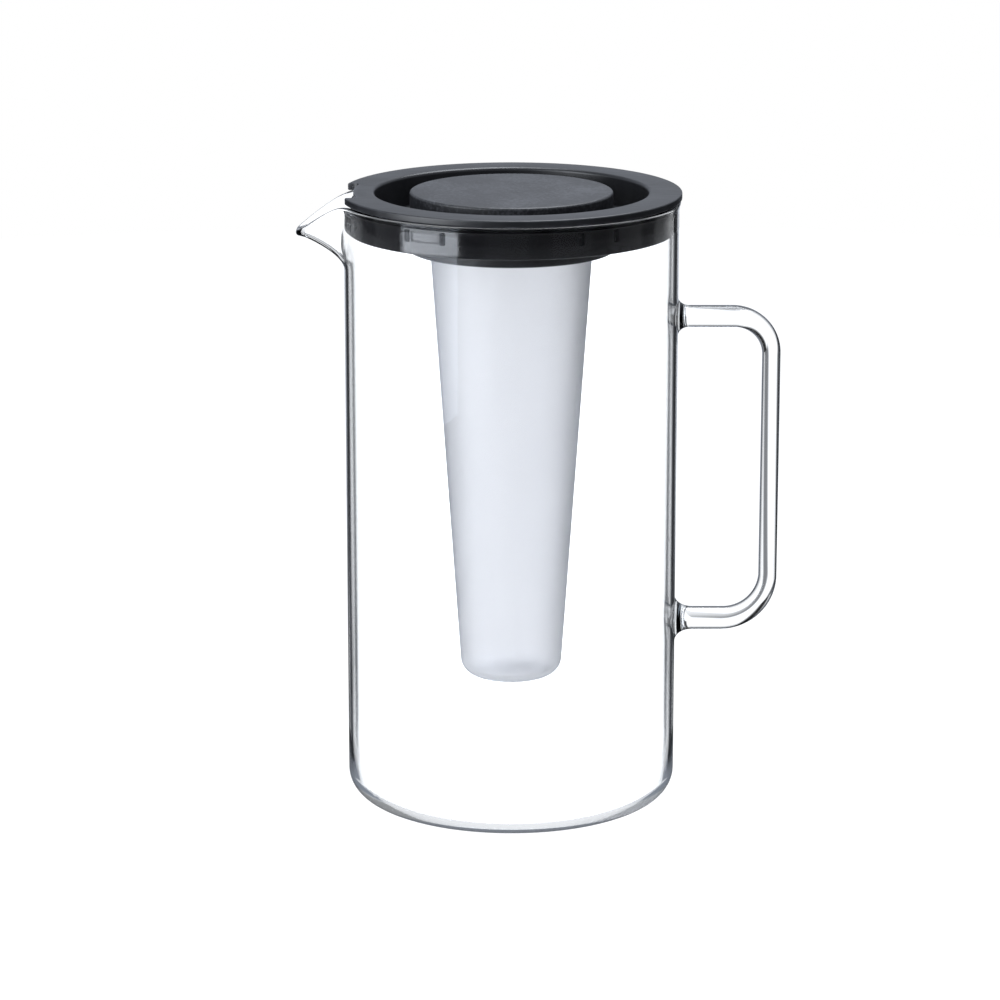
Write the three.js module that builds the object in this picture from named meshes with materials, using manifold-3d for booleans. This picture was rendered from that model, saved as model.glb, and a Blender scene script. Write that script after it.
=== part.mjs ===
// Infuser jug: a straight glass jug with a drawn spout and a fused glass handle. A loose lid sits in
// its mouth, with a pour notch over the spout and a strainer skirt below. A frosted insert hangs in
// the middle of the lid, and its screw cap is the round knob that stands in the lid's finger well.
// Millimetres, +Z up. Origin: centre of the flat underside. The spout points to -X, the handle to +X.

import * as THREE from 'three';
import { mergeVertices } from 'three/addons/utils/BufferGeometryUtils.js';
import Module from 'manifold-3d';

const wasm = await Module();
wasm.setup();

// Fits
const restGap = 0.3; // between faces that rest on each other
const slideGap = 0.6; // beside a face that slides or turns in another
const overrun = 2; // how far a cutter runs past what it cuts
const embed = 0.5; // how deep a rib or lug is rooted in its wall

// Glass body
const bodyRadius = 63;
const bodyHeight = 232; // underside to the top of the rim
const glassWall = 2;
const baseThickness = 3;
const baseCornerRadius = 9;
const beadProud = 0.5; // extra thickness of the fire-polished rim
const beadHeight = 3.4;

// Spout, drawn out of the wall
const spoutReach = 17.1; // outside of the wall at the tip, beyond the body
const spoutHalfWidth = 11.2; // half the width of the lip, halfway out
const spoutDrop = 11.9; // tip below the rim
const spoutDepth = 26; // foot of the throat below the rim

// Handle, a bent glass rod with flattened ends
const upperArmHeight = 188;
const lowerArmHeight = 67.5;
const handleReach = 35.5; // middle of the grip beyond the body
const upperBendRadius = 14.5;
const lowerBendRadius = 17.5;
const upperArmThickness = 8.3;
const lowerArmThickness = 8.8;
const gripThickness = 7;
const handleWidth = 9.4;
const upperFootProud = 3.4; // how far the foot spreads round the rod
const upperFootLength = 4;
const lowerFootProud = 4.6;
const lowerFootLength = 6.5;

// Lid cover: flange, finger well and guide sleeve in one moulding
const flangeOverhang = 1; // beyond the outside of the glass
const flangeThickness = 2.7;
const flangeEdgeRadius = 1;
const flangeWidth = 12.6; // from its edge to the mouth of the well
const lidWall = 2;
const wellDepth = 12.5;
const wellDraft = 0.8; // how much the well narrows on its way down
const wellLipRadius = 1.4;
const wellFootRadius = 1.5;
const sleeveLength = 7.5; // below the floor of the well
const neckWall = 1.8;
const neckHeight = 5.3; // below the flange
const snapProud = 0.6; // bead on the neck that holds the skirt
const snapHeight = 1.4;

// Pour notch in the flange, over the spout
const notchHalfWidth = 15.9;
const notchDepth = 4.7; // from the flange's edge inwards
const notchCornerRadius = 2.5;

// Strainer skirt
const skirtClearance = 0.45; // between the skirt and the glass
const skirtWall = 1.8;
const skirtHeight = 10.2;
const shoulderThickness = 1.2;
const strainerSlotWidth = 2;
const strainerSlotHeight = 6.2;
const strainerSlotPitch = 3.6;
const strainerSlotCount = 9;
const slotFloor = 1.8; // solid band under the strainer slots
const tabTurn = THREE.MathUtils.degToRad(31.4); // tab from the front or the back of the lid
const tabWidth = 11.3;
const tabHeight = 4;
const tabRise = 4.9; // underside of the pad above the bottom of the skirt
const tabProud = 0.2;
const tabSlotWidth = 2.4;
const tabSlotHeight = 5;
const tabSlotGap = 0.6; // between the pad and its slots

// Seal ring in the groove between flange and skirt
const lidSealHeight = 1.5;
const lidSealWidth = 2.1;
const lidSealRecess = 1; // outside of the ring, inside the glass
const lidSealLip = 0.4; // middle of the ring, proud of its edges

// Insert
const insertTopRadius = 30.6;
const insertBottomRadius = 19;
const insertLength = 166.5; // tapered tube, from its shoulder to its foot
const insertWall = 1.6;
const insertFloor = 2;
const insertFootRadius = 6;
const shoulderRise = 3.5;
const rimThickness = 1.5;
const rimSeat = 1; // how far the rim laps over the edge of the sleeve

// Screw cap, the knob of the lid
const capRadius = 38.2;
const capWall = 1.8;
const capTopThickness = 2.2;
const capEdgeRadius = 1.5;
const capLap = 0.2; // cap's edge, beyond the insert's rim
const capSealThickness = 0.8;

// Quick thread between insert and cap
const threadStarts = 3;
const threadLead = 20; // climb in one full turn
const threadDepth = 1.5; // how far a rib stands out of the insert's mouth
const threadRibHeight = 1.4;
const threadRibTurn = THREE.MathUtils.degToRad(50);
const threadRise = 2.3; // foot of a rib above the insert's rim

// Smoothness
const roundSegments = 64;
const insertSegments = 48;
const rodSides = 14;
const cornerSteps = 4;
const bendSteps = 7;
const ribSteps = 7;

// Shape of the spout, as shares: crest across the lip, fall of the lip, flare of the throat
const crestPowerShare = 4;
const fallPowerShare = 1.2;
const flarePowerShare = 1.7;
const throatShares = [0, 0.15, 0.3, 0.45, 0.6, 0.74, 0.86, 0.94, 1];
const nearSpoutShares = [0, 0.24, 0.48, 0.72, 0.96, 1.22, 1.5, 1.85, 2.25, 2.8]; // of the crest's half angle
const footShares = [0, 0.12, 0.3, 0.6, 1]; // of a handle foot's length

// Levels, from the table up
const beadRadius = (glassWall + beadProud) / 2;
const flangeUnder = bodyHeight + restGap;
const lidTop = flangeUnder + flangeThickness;
const wellFloor = lidTop - wellDepth;
const sleeveBottom = wellFloor - lidWall - sleeveLength;
const lidSealBottom = flangeUnder - restGap - lidSealHeight;
const skirtTop = lidSealBottom - restGap;
const skirtBottom = skirtTop - skirtHeight;
const rimUnder = wellFloor + restGap;
const rimTop = rimUnder + rimThickness;
const capBottom = rimTop + restGap;
const capUnder = lidTop - capTopThickness;
const mouthTop = capUnder - restGap - capSealThickness - restGap;
const shoulderBottom = sleeveBottom + restGap;
const insertBottom = shoulderBottom - insertLength;

// Radii that follow from a neighbour
const glassInner = bodyRadius - glassWall;
const skirtRadius = glassInner - skirtClearance;
const lidRadius = bodyRadius + flangeOverhang;
const wellRadius = lidRadius - flangeWidth;
const notchInnerRadius = lidRadius - notchDepth;
const neckRadius = glassInner - lidSealRecess - lidSealWidth - restGap;
const capInner = capRadius - capWall;
const mouthRadius = capInner - restGap - threadDepth;
const rimRadius = capRadius - capLap;
const sleeveInner = rimRadius - rimSeat;
const sleeveRadius = sleeveInner + lidWall;
const cupRadius = sleeveInner - slideGap;

// A closed geometry with shared vertices, no closed-up triangles and its faces pointing out.
function weld(geometry) {
  geometry.deleteAttribute('normal');
  geometry.deleteAttribute('uv');
  const merged = mergeVertices(geometry);
  const old = merged.index.array;
  const place = merged.attributes.position;
  const kept = [];
  const a = new THREE.Vector3();
  const b = new THREE.Vector3();
  const c = new THREE.Vector3();
  let volume = 0;
  for (let i = 0; i < old.length; i += 3) {
    const [p, q, r] = [old[i], old[i + 1], old[i + 2]];
    if (p === q || q === r || r === p) continue;
    kept.push([p, q, r]);
    a.fromBufferAttribute(place, p);
    b.fromBufferAttribute(place, q);
    c.fromBufferAttribute(place, r);
    volume += a.dot(b.cross(c));
  }
  merged.setIndex(kept.flatMap(([p, q, r]) => (volume > 0 ? [p, q, r] : [p, r, q])));
  return merged;
}

// The same geometry as a solid that can be joined and cut.
function solid(geometry) {
  const welded = weld(geometry);
  return new wasm.Manifold(new wasm.Mesh({
    numProp: 3,
    vertProperties: new Float32Array(welded.attributes.position.array),
    triVerts: new Uint32Array(welded.index.array),
  }));
}

// A geometry again, from a solid.
function surface(body) {
  const mesh = body.getMesh();
  const geometry = new THREE.BufferGeometry();
  geometry.setAttribute('position', new THREE.BufferAttribute(mesh.vertProperties, 3));
  geometry.setIndex(new THREE.BufferAttribute(mesh.triVerts, 1));
  return geometry;
}

// A profile of [radius, height] points, turned round the Z axis.
function turned(profile, segments) {
  const points = profile.map(([radius, height]) => new THREE.Vector2(radius, height));
  return new THREE.LatheGeometry(points, segments).rotateX(Math.PI / 2);
}

// Points of a quarter round from one direction to another, both in radians.
function corner(centreRadius, centreHeight, radius, from, to, steps = cornerSteps) {
  const points = [];
  for (let i = 0; i <= steps; i += 1) {
    const angle = from + ((to - from) * i) / steps;
    points.push([centreRadius + radius * Math.cos(angle), centreHeight + radius * Math.sin(angle)]);
  }
  return points;
}

// A closed skin over rings of equal count, with a flat fan over the first and the last.
function loft(rings) {
  const count = rings[0].length;
  const middles = [rings[0], rings[rings.length - 1]].map((ring) => {
    const middle = new THREE.Vector3();
    ring.forEach((point) => middle.add(point));
    return middle.divideScalar(count);
  });
  const points = [...rings.flat(), ...middles];
  const last = (rings.length - 1) * count;
  const foot = rings.length * count;
  const index = [];
  for (let i = 0; i < count; i += 1) {
    const next = (i + 1) % count;
    for (let k = 0; k < last; k += count) {
      index.push(k + i, k + next, k + count + next, k + i, k + count + next, k + count + i);
    }
    index.push(foot, next, i, foot + 1, last + i, last + next);
  }
  return new THREE.BufferGeometry().setFromPoints(points).setIndex(index);
}

// A box whose far face looks outwards in the given direction, centred at a radius and a height.
function radialBox(depth, width, height, radius, level, direction) {
  const box = new THREE.BoxGeometry(depth, width, height);
  return box.translate(radius, 0, level).rotateZ(direction);
}

// Glass body

// Share of the spout's reach at an angle from the spout's middle.
const crestHalfAngle = Math.asin(spoutHalfWidth / (bodyRadius + spoutReach / 2));
function crest(angle) {
  return 1 / (1 + (Math.abs(angle) / crestHalfAngle) ** crestPowerShare);
}

// Outside of the upper wall: angle from the spout, climb from the foot of the throat to the rim.
function wallPoint(angle, climb) {
  const foot = bodyHeight - spoutDepth;
  const lip = bodyHeight - beadRadius - spoutDrop * crest(angle) ** fallPowerShare;
  const radius = bodyRadius + spoutReach * crest(angle) * climb ** flarePowerShare;
  const height = foot + (lip - foot) * climb;
  return new THREE.Vector3(-radius * Math.cos(angle), -radius * Math.sin(angle), height);
}

// The wall's outward and upward directions there.
function wallDirections(angle, climb) {
  const step = 1e-3;
  const low = Math.max(climb - step, 0);
  const along = wallPoint(angle + step, climb).sub(wallPoint(angle - step, climb));
  const up = wallPoint(angle, low + step).sub(wallPoint(angle, low)).normalize();
  const out = along.cross(up).normalize();
  return { out, up };
}

// Angles of the wall's columns, closer together round the spout.
function columnAngles() {
  const near = nearSpoutShares.map((share) => share * crestHalfAngle);
  const edge = near[near.length - 1];
  const rest = Math.ceil((Math.PI - edge) / ((2 * Math.PI) / roundSegments));
  const side = [...near];
  for (let i = 1; i < rest; i += 1) side.push(edge + ((Math.PI - edge) * i) / rest);
  const mirrored = side.slice(1).reverse().map((angle) => 2 * Math.PI - angle);
  return [...side, Math.PI, ...mirrored];
}

function buildGlassBody() {
  const angles = columnAngles();
  const around = ([radius, height]) => angles.map(
    (angle) => new THREE.Vector3(-radius * Math.cos(angle), -radius * Math.sin(angle), height),
  );
  const centreRadius = bodyRadius - baseCornerRadius;
  const outerFoot = corner(centreRadius, baseCornerRadius, baseCornerRadius, -Math.PI / 2, 0);
  const innerCorner = Math.max(baseCornerRadius - glassWall, glassWall);
  const innerCentre = glassInner - innerCorner;
  const innerFoot = corner(innerCentre, baseThickness + innerCorner, innerCorner, 0, -Math.PI / 2);
  const sides = throatShares.map((climb) => angles.map((angle) => {
    const turn = angle > Math.PI ? angle - 2 * Math.PI : angle;
    const { out, up } = wallDirections(turn, climb);
    const point = wallPoint(turn, climb);
    const below = (1 - climb) * (spoutDepth - beadRadius);
    const thick = beadProud * Math.max(1 - below / beadHeight, 0);
    const outer = point.clone().addScaledVector(out, thick);
    const inner = point.clone().addScaledVector(out, -glassWall);
    return { outer, inner, out, up };
  }));
  const rim = sides[sides.length - 1];
  const roundSteps = Array.from({ length: cornerSteps - 1 }, (_, i) => i + 1);
  const round = roundSteps.map((step) => rim.map(({ outer, inner, out, up }) => {
    const turn = (Math.PI * step) / cornerSteps;
    const middle = outer.clone().add(inner).divideScalar(2);
    return middle.addScaledVector(out, beadRadius * Math.cos(turn))
      .addScaledVector(up, beadRadius * Math.sin(turn));
  }));
  return loft([
    ...outerFoot.map(around),
    ...sides.map((row) => row.map((place) => place.outer)),
    ...round,
    ...sides.map((row) => row.map((place) => place.inner)).reverse(),
    ...innerFoot.map(around),
  ]);
}

// Handle

// One ring of the rod: its middle in the XZ plane, the way it runs there, and its two thicknesses.
function rodRing(x, z, heading, thickness, width) {
  const ring = [];
  for (let i = 0; i < rodSides; i += 1) {
    const turn = (2 * Math.PI * i) / rodSides;
    const across = (thickness / 2) * Math.cos(turn);
    const side = (width / 2) * Math.sin(turn);
    ring.push(new THREE.Vector3(
      x - across * Math.sin(heading), side, z + across * Math.cos(heading),
    ));
  }
  return ring;
}

// Rings of a foot that spreads towards the body, from the wall outwards.
function footRings(height, heading, thickness, proud, length) {
  const rings = [[-overrun, proud]];
  footShares.forEach((share) => {
    rings.push([length * share, proud * (1 - Math.sqrt(1 - (1 - share) ** 2))]);
  });
  return rings.map(([off, spread]) => rodRing(
    bodyRadius + off, height, heading, thickness + 2 * spread, handleWidth + 2 * spread,
  ));
}

// Rings of a bend, turning clockwise in the XZ plane from one heading to the next.
function bendRings(x, z, radius, from, to, startThickness, endThickness) {
  const rings = [];
  for (let i = 0; i <= bendSteps; i += 1) {
    const share = i / bendSteps;
    const heading = from + (to - from) * share;
    const thickness = startThickness + (endThickness - startThickness) * share;
    rings.push(rodRing(
      x - radius * Math.sin(heading), z + radius * Math.cos(heading), heading, thickness, handleWidth,
    ));
  }
  return rings;
}

function buildHandle() {
  const gripX = bodyRadius + handleReach;
  const upperBend = bendRings(
    gripX - upperBendRadius, upperArmHeight - upperBendRadius, upperBendRadius,
    0, -Math.PI / 2, upperArmThickness, gripThickness,
  );
  const lowerBend = bendRings(
    gripX - lowerBendRadius, lowerArmHeight + lowerBendRadius, lowerBendRadius,
    -Math.PI / 2, -Math.PI, gripThickness, lowerArmThickness,
  );
  const rod = loft([
    ...footRings(upperArmHeight, 0, upperArmThickness, upperFootProud, upperFootLength),
    ...upperBend,
    ...lowerBend,
    ...footRings(
      lowerArmHeight, -Math.PI, lowerArmThickness, lowerFootProud, lowerFootLength,
    ).reverse(),
  ]);
  const wallRadius = bodyRadius + restGap;
  const wall = new THREE.CylinderGeometry(wallRadius, wallRadius, bodyHeight, roundSegments);
  wall.rotateX(Math.PI / 2).translate(0, 0, bodyHeight / 2);
  return surface(solid(rod).subtract(solid(wall)));
}

// Lid

// Outline of the pour notch from above: straight sides, rounded inner corners, an inner edge that
// follows the flange.
function notchOutline() {
  const outside = lidRadius + overrun;
  const cornerRadius = notchInnerRadius + notchCornerRadius;
  const cornerSide = notchHalfWidth - notchCornerRadius;
  const cornerX = -Math.sqrt(cornerRadius ** 2 - cornerSide ** 2);
  const inward = Math.asin(cornerSide / cornerRadius);
  const outline = new THREE.Shape();
  outline.moveTo(-outside, notchHalfWidth);
  outline.lineTo(-outside, -notchHalfWidth);
  outline.absarc(cornerX, -cornerSide, notchCornerRadius, -Math.PI / 2, inward, false);
  outline.absarc(0, 0, notchInnerRadius, Math.PI + inward, Math.PI - inward, true);
  outline.absarc(cornerX, cornerSide, notchCornerRadius, -inward, Math.PI / 2, false);
  return outline;
}

function buildLidCover() {
  const wellWall = wellRadius - wellDraft;
  const neckInner = neckRadius - neckWall;
  const neckBottom = flangeUnder - neckHeight;
  const edge = flangeEdgeRadius;
  const half = Math.PI / 2;
  const profile = [
    [sleeveInner, sleeveBottom],
    [sleeveRadius, sleeveBottom],
    [sleeveRadius, wellFloor - lidWall],
    [wellWall + lidWall, wellFloor - lidWall],
    [wellRadius + lidWall, flangeUnder],
    [neckInner, flangeUnder],
    [neckInner, neckBottom],
    [neckRadius + snapProud, neckBottom],
    [neckRadius + snapProud, neckBottom + snapHeight],
    [neckRadius, neckBottom + snapHeight + snapProud / 2],
    [neckRadius, flangeUnder],
    ...corner(lidRadius - edge, flangeUnder + edge, edge, -half, 0, 2),
    ...corner(lidRadius - edge, lidTop - edge, edge, 0, half, 3),
    ...corner(wellRadius + wellLipRadius, lidTop - wellLipRadius, wellLipRadius, half, Math.PI, 3),
    ...corner(wellWall - wellFootRadius, wellFloor + wellFootRadius, wellFootRadius, 0, -half, 2),
    [sleeveInner, wellFloor],
    [sleeveInner, sleeveBottom],
  ];
  const height = flangeThickness + 2 * overrun;
  const notch = new THREE.ExtrudeGeometry(notchOutline(), {
    depth: height, bevelEnabled: false, curveSegments: cornerSteps,
  });
  notch.translate(0, 0, flangeUnder - restGap);
  return surface(solid(turned(profile, roundSegments)).subtract(solid(notch)));
}

function buildStrainerSkirt() {
  const inner = skirtRadius - skirtWall;
  const shoulderInner = neckRadius + restGap;
  const shoulderUnder = skirtTop - shoulderThickness;
  const profile = [
    [inner, skirtBottom],
    [skirtRadius, skirtBottom],
    [skirtRadius, skirtTop],
    [shoulderInner, skirtTop],
    [shoulderInner, shoulderUnder],
    [inner, shoulderUnder],
    [inner, skirtBottom],
  ];
  let skirt = solid(turned(profile, roundSegments));
  const depth = skirtWall + 2 * overrun;
  const middle = skirtRadius - skirtWall / 2;

  const slotMiddle = skirtBottom + slotFloor + strainerSlotHeight / 2;
  for (let i = 0; i < strainerSlotCount; i += 1) {
    const along = (i - (strainerSlotCount - 1) / 2) * strainerSlotPitch;
    const direction = Math.PI + along / skirtRadius;
    const slot = radialBox(
      depth, strainerSlotWidth, strainerSlotHeight, middle, slotMiddle, direction,
    );
    skirt = skirt.subtract(solid(slot));
  }

  const tabMiddle = skirtBottom + tabRise + tabHeight / 2;
  const padDepth = tabProud + embed;
  const padRadius = skirtRadius + tabProud - padDepth / 2;
  const slotAway = (tabWidth / 2 + tabSlotGap + tabSlotWidth / 2) / skirtRadius;
  for (const front of [-Math.PI / 2, Math.PI / 2]) {
    for (const side of [-1, 1]) {
      const direction = front + side * tabTurn;
      const pad = radialPad(padDepth, tabWidth, tabHeight, padRadius, tabMiddle, direction);
      skirt = skirt.add(solid(pad));
      for (const hand of [-1, 1]) {
        const slot = radialBox(
          depth, tabSlotWidth, tabSlotHeight, middle, tabMiddle, direction + hand * slotAway,
        );
        skirt = skirt.subtract(solid(slot));
      }
    }
  }
  return surface(skirt);
}

// A pad whose outer face follows the skirt, lofted from one end to the other.
function radialPad(depth, width, height, radius, level, direction) {
  const rings = [];
  for (let i = 0; i <= cornerSteps; i += 1) {
    const turn = direction + ((i / cornerSteps - 1 / 2) * width) / radius;
    rings.push([[-1, -1], [1, -1], [1, 1], [-1, 1]].map(([out, up]) => {
      const reach = radius + (out * depth) / 2;
      return new THREE.Vector3(
        reach * Math.cos(turn), reach * Math.sin(turn), level + (up * height) / 2,
      );
    }));
  }
  return loft(rings);
}

function buildLidSeal() {
  const inner = neckRadius + restGap;
  const outer = glassInner - lidSealRecess;
  const top = lidSealBottom + lidSealHeight;
  return weld(turned([
    [inner, lidSealBottom],
    [outer, lidSealBottom],
    [outer + lidSealLip, lidSealBottom + lidSealHeight / 2],
    [outer, top],
    [inner, top],
    [inner, lidSealBottom],
  ], roundSegments));
}

// Insert and cap

// One helical rib between two radii, with its underside at the given level at its start.
function threadRib(inner, outer, level, height, start) {
  const rings = [];
  for (let i = 0; i <= ribSteps; i += 1) {
    const turn = (threadRibTurn * i) / ribSteps;
    const base = level + (threadLead * turn) / (2 * Math.PI);
    rings.push([[inner, 0], [outer, 0], [outer, height], [inner, height]].map(
      ([radius, up]) => new THREE.Vector3(
        radius * Math.cos(start + turn), radius * Math.sin(start + turn), base + up,
      ),
    ));
  }
  return loft(rings);
}

// All starts of a thread, joined to the piece that carries them.
function addThread(body, inner, outer, level, height) {
  let threaded = body;
  for (let i = 0; i < threadStarts; i += 1) {
    const start = (2 * Math.PI * i) / threadStarts;
    threaded = threaded.add(solid(threadRib(inner, outer, level, height, start)));
  }
  return threaded;
}

function buildInsert() {
  const taper = (insertTopRadius - insertBottomRadius) / insertLength;
  const tubeRadius = (height) => insertTopRadius - taper * (shoulderBottom - height);
  const footTop = insertBottom + insertFootRadius;
  const floorTop = insertBottom + insertFloor;
  const innerFoot = insertFootRadius - insertWall;
  const innerTop = floorTop + innerFoot;
  const cupInner = cupRadius - insertWall;
  const mouthInner = mouthRadius - insertWall;
  const shoulderTop = shoulderBottom + shoulderRise;
  const half = Math.PI / 2;
  const profile = [
    [0, insertBottom],
    ...corner(tubeRadius(footTop) - insertFootRadius, footTop, insertFootRadius, -half, 0),
    [insertTopRadius, shoulderBottom],
    [cupRadius, shoulderTop],
    [cupRadius, rimUnder],
    [rimRadius, rimUnder],
    [rimRadius, rimTop],
    [mouthRadius, rimTop],
    [mouthRadius, mouthTop],
    [mouthInner, mouthTop],
    [mouthInner, rimTop],
    [cupInner, rimUnder],
    [cupInner, shoulderTop + insertWall / 2],
    [insertTopRadius - insertWall, shoulderBottom + insertWall / 2],
    ...corner(tubeRadius(innerTop) - insertWall - innerFoot, innerTop, innerFoot, 0, -half),
    [0, floorTop],
  ];
  const body = solid(turned(profile, insertSegments));
  const level = rimTop + threadRise;
  return surface(addThread(
    body, mouthRadius - embed, capInner - restGap, level, threadRibHeight,
  ));
}

function buildKnobCap() {
  const edge = capEdgeRadius;
  const profile = [
    [0, capUnder],
    [capInner, capUnder],
    [capInner, capBottom],
    [capRadius, capBottom],
    ...corner(capRadius - edge, lidTop - edge, edge, 0, Math.PI / 2),
    [0, lidTop],
  ];
  const body = solid(turned(profile, roundSegments));
  const level = rimTop + threadRise - restGap - threadRibHeight;
  return surface(addThread(
    body, mouthRadius + restGap, capInner + embed, level, threadRibHeight,
  ));
}

function buildCapSeal() {
  const inner = mouthRadius - insertWall;
  const outer = capInner - restGap;
  const bottom = mouthTop + restGap;
  const top = bottom + capSealThickness;
  return weld(turned([
    [inner, bottom], [outer, bottom], [outer, top], [inner, top], [inner, bottom],
  ], insertSegments));
}

// Materials
const clearGlass = { color: 0xe4edf0, roughness: 0.03, metalness: 0 };
const blackGloss = { color: 0x1b1c20, roughness: 0.25, metalness: 0 };
const blackMatte = { color: 0x26272c, roughness: 0.55, metalness: 0 };
const blackRubber = { color: 0x141416, roughness: 0.8, metalness: 0 };
const frostedPlastic = { color: 0xdfe4ea, roughness: 0.45, metalness: 0 };

// One named piece of the jug.
function piece(name, geometry, finish) {
  const mesh = new THREE.Mesh(geometry, new THREE.MeshStandardMaterial(finish));
  mesh.name = name;
  return mesh;
}

const glassware = new THREE.Group();
glassware.add(
  piece('glass_body', weld(buildGlassBody()), clearGlass),
  piece('handle', buildHandle(), clearGlass),
);

const lid = new THREE.Group();
lid.add(
  piece('lid_cover', buildLidCover(), blackGloss),
  piece('strainer_skirt', buildStrainerSkirt(), blackGloss),
  piece('lid_seal', buildLidSeal(), blackRubber),
);

const core = new THREE.Group();
core.add(
  piece('insert', buildInsert(), frostedPlastic),
  piece('cap_seal', buildCapSeal(), blackRubber),
  piece('knob_cap', buildKnobCap(), blackMatte),
);

const jug = new THREE.Group();
jug.add(glassware, lid, core);

export default jug;
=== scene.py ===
"""Looks of an infuser jug: blown glass, black lid with its strainer, frosted insert and screw knob.

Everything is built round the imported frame, in metres, +Z up. The spout points to -X, the handle to +X.
"""

import logging
import math
from collections.abc import Callable, Iterator, Sequence
from contextlib import contextmanager
from dataclasses import dataclass, field
from enum import Enum

import bmesh
import bpy
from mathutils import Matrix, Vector


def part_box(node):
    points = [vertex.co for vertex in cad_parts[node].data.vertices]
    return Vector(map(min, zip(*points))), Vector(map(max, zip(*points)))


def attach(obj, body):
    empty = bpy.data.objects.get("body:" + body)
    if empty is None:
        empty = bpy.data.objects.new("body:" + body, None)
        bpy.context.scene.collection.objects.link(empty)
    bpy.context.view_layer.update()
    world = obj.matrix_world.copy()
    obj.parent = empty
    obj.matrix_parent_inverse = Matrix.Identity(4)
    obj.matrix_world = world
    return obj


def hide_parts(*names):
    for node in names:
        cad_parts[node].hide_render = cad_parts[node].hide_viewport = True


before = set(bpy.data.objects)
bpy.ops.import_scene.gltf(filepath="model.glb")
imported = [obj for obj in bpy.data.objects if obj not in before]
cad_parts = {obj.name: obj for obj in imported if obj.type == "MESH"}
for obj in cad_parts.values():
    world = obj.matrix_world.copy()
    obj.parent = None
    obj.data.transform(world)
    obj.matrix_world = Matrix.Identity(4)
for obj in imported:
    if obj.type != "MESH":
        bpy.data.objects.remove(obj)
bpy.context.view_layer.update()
log = logging.getLogger("infuser_jug")

MM = 0.001
FULL_TURN = 2 * math.pi
QUARTER_TURN = math.pi / 2
WELD = 1e-6
SMOOTH_BELOW = math.radians(32)
SHARP_ABOVE = math.radians(50)
TURNED_COLUMNS = 256
WHITE = (1, 1, 1, 1)
# A whole count passes these from its first, second and third time on.
FIRST, SECOND, THIRD = 0.5, 1.5, 2.5

Colour = tuple[float, float, float, float]
Span = tuple[float, float]
Socket = bpy.types.NodeSocket


class Body(Enum):
    """The bodies that the pieces ride on."""

    JUG = "jug"
    SEAL_RING = "seal_ring"
    LID = "lid"
    INSERT = "insert"
    CAP_GASKET = "cap_gasket"
    CAP = "cap"


class Slot(Enum):
    """The record's material slots."""

    GLASS = "clear_glass"
    LID = "lid_plastic"
    KNOB = "knob_plastic"
    SEAL = "seal_rubber"
    INSERT = "insert_plastic"


class Element(Enum):
    """What a selection picks."""

    VERTEX = "VERT"
    EDGE = "EDGE"
    FACE = "FACE"


class Join(Enum):
    """How one solid is combined with another."""

    ADD = "UNION"
    CUT = "DIFFERENCE"


@dataclass(frozen=True)
class Corner:
    """One corner of an outline: distance from the axis, height, and the radius that rounds it."""

    out: float
    up: float
    rounding: float = 0.0
    steps: int = 4

    def place(self) -> Vector:
        """The corner's place in the XZ plane."""
        return Vector((self.out, 0, self.up))


@dataclass(frozen=True)
class Sector:
    """A part of a full turn, with the number of columns that it is divided into."""

    angle: float
    columns: int


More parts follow.
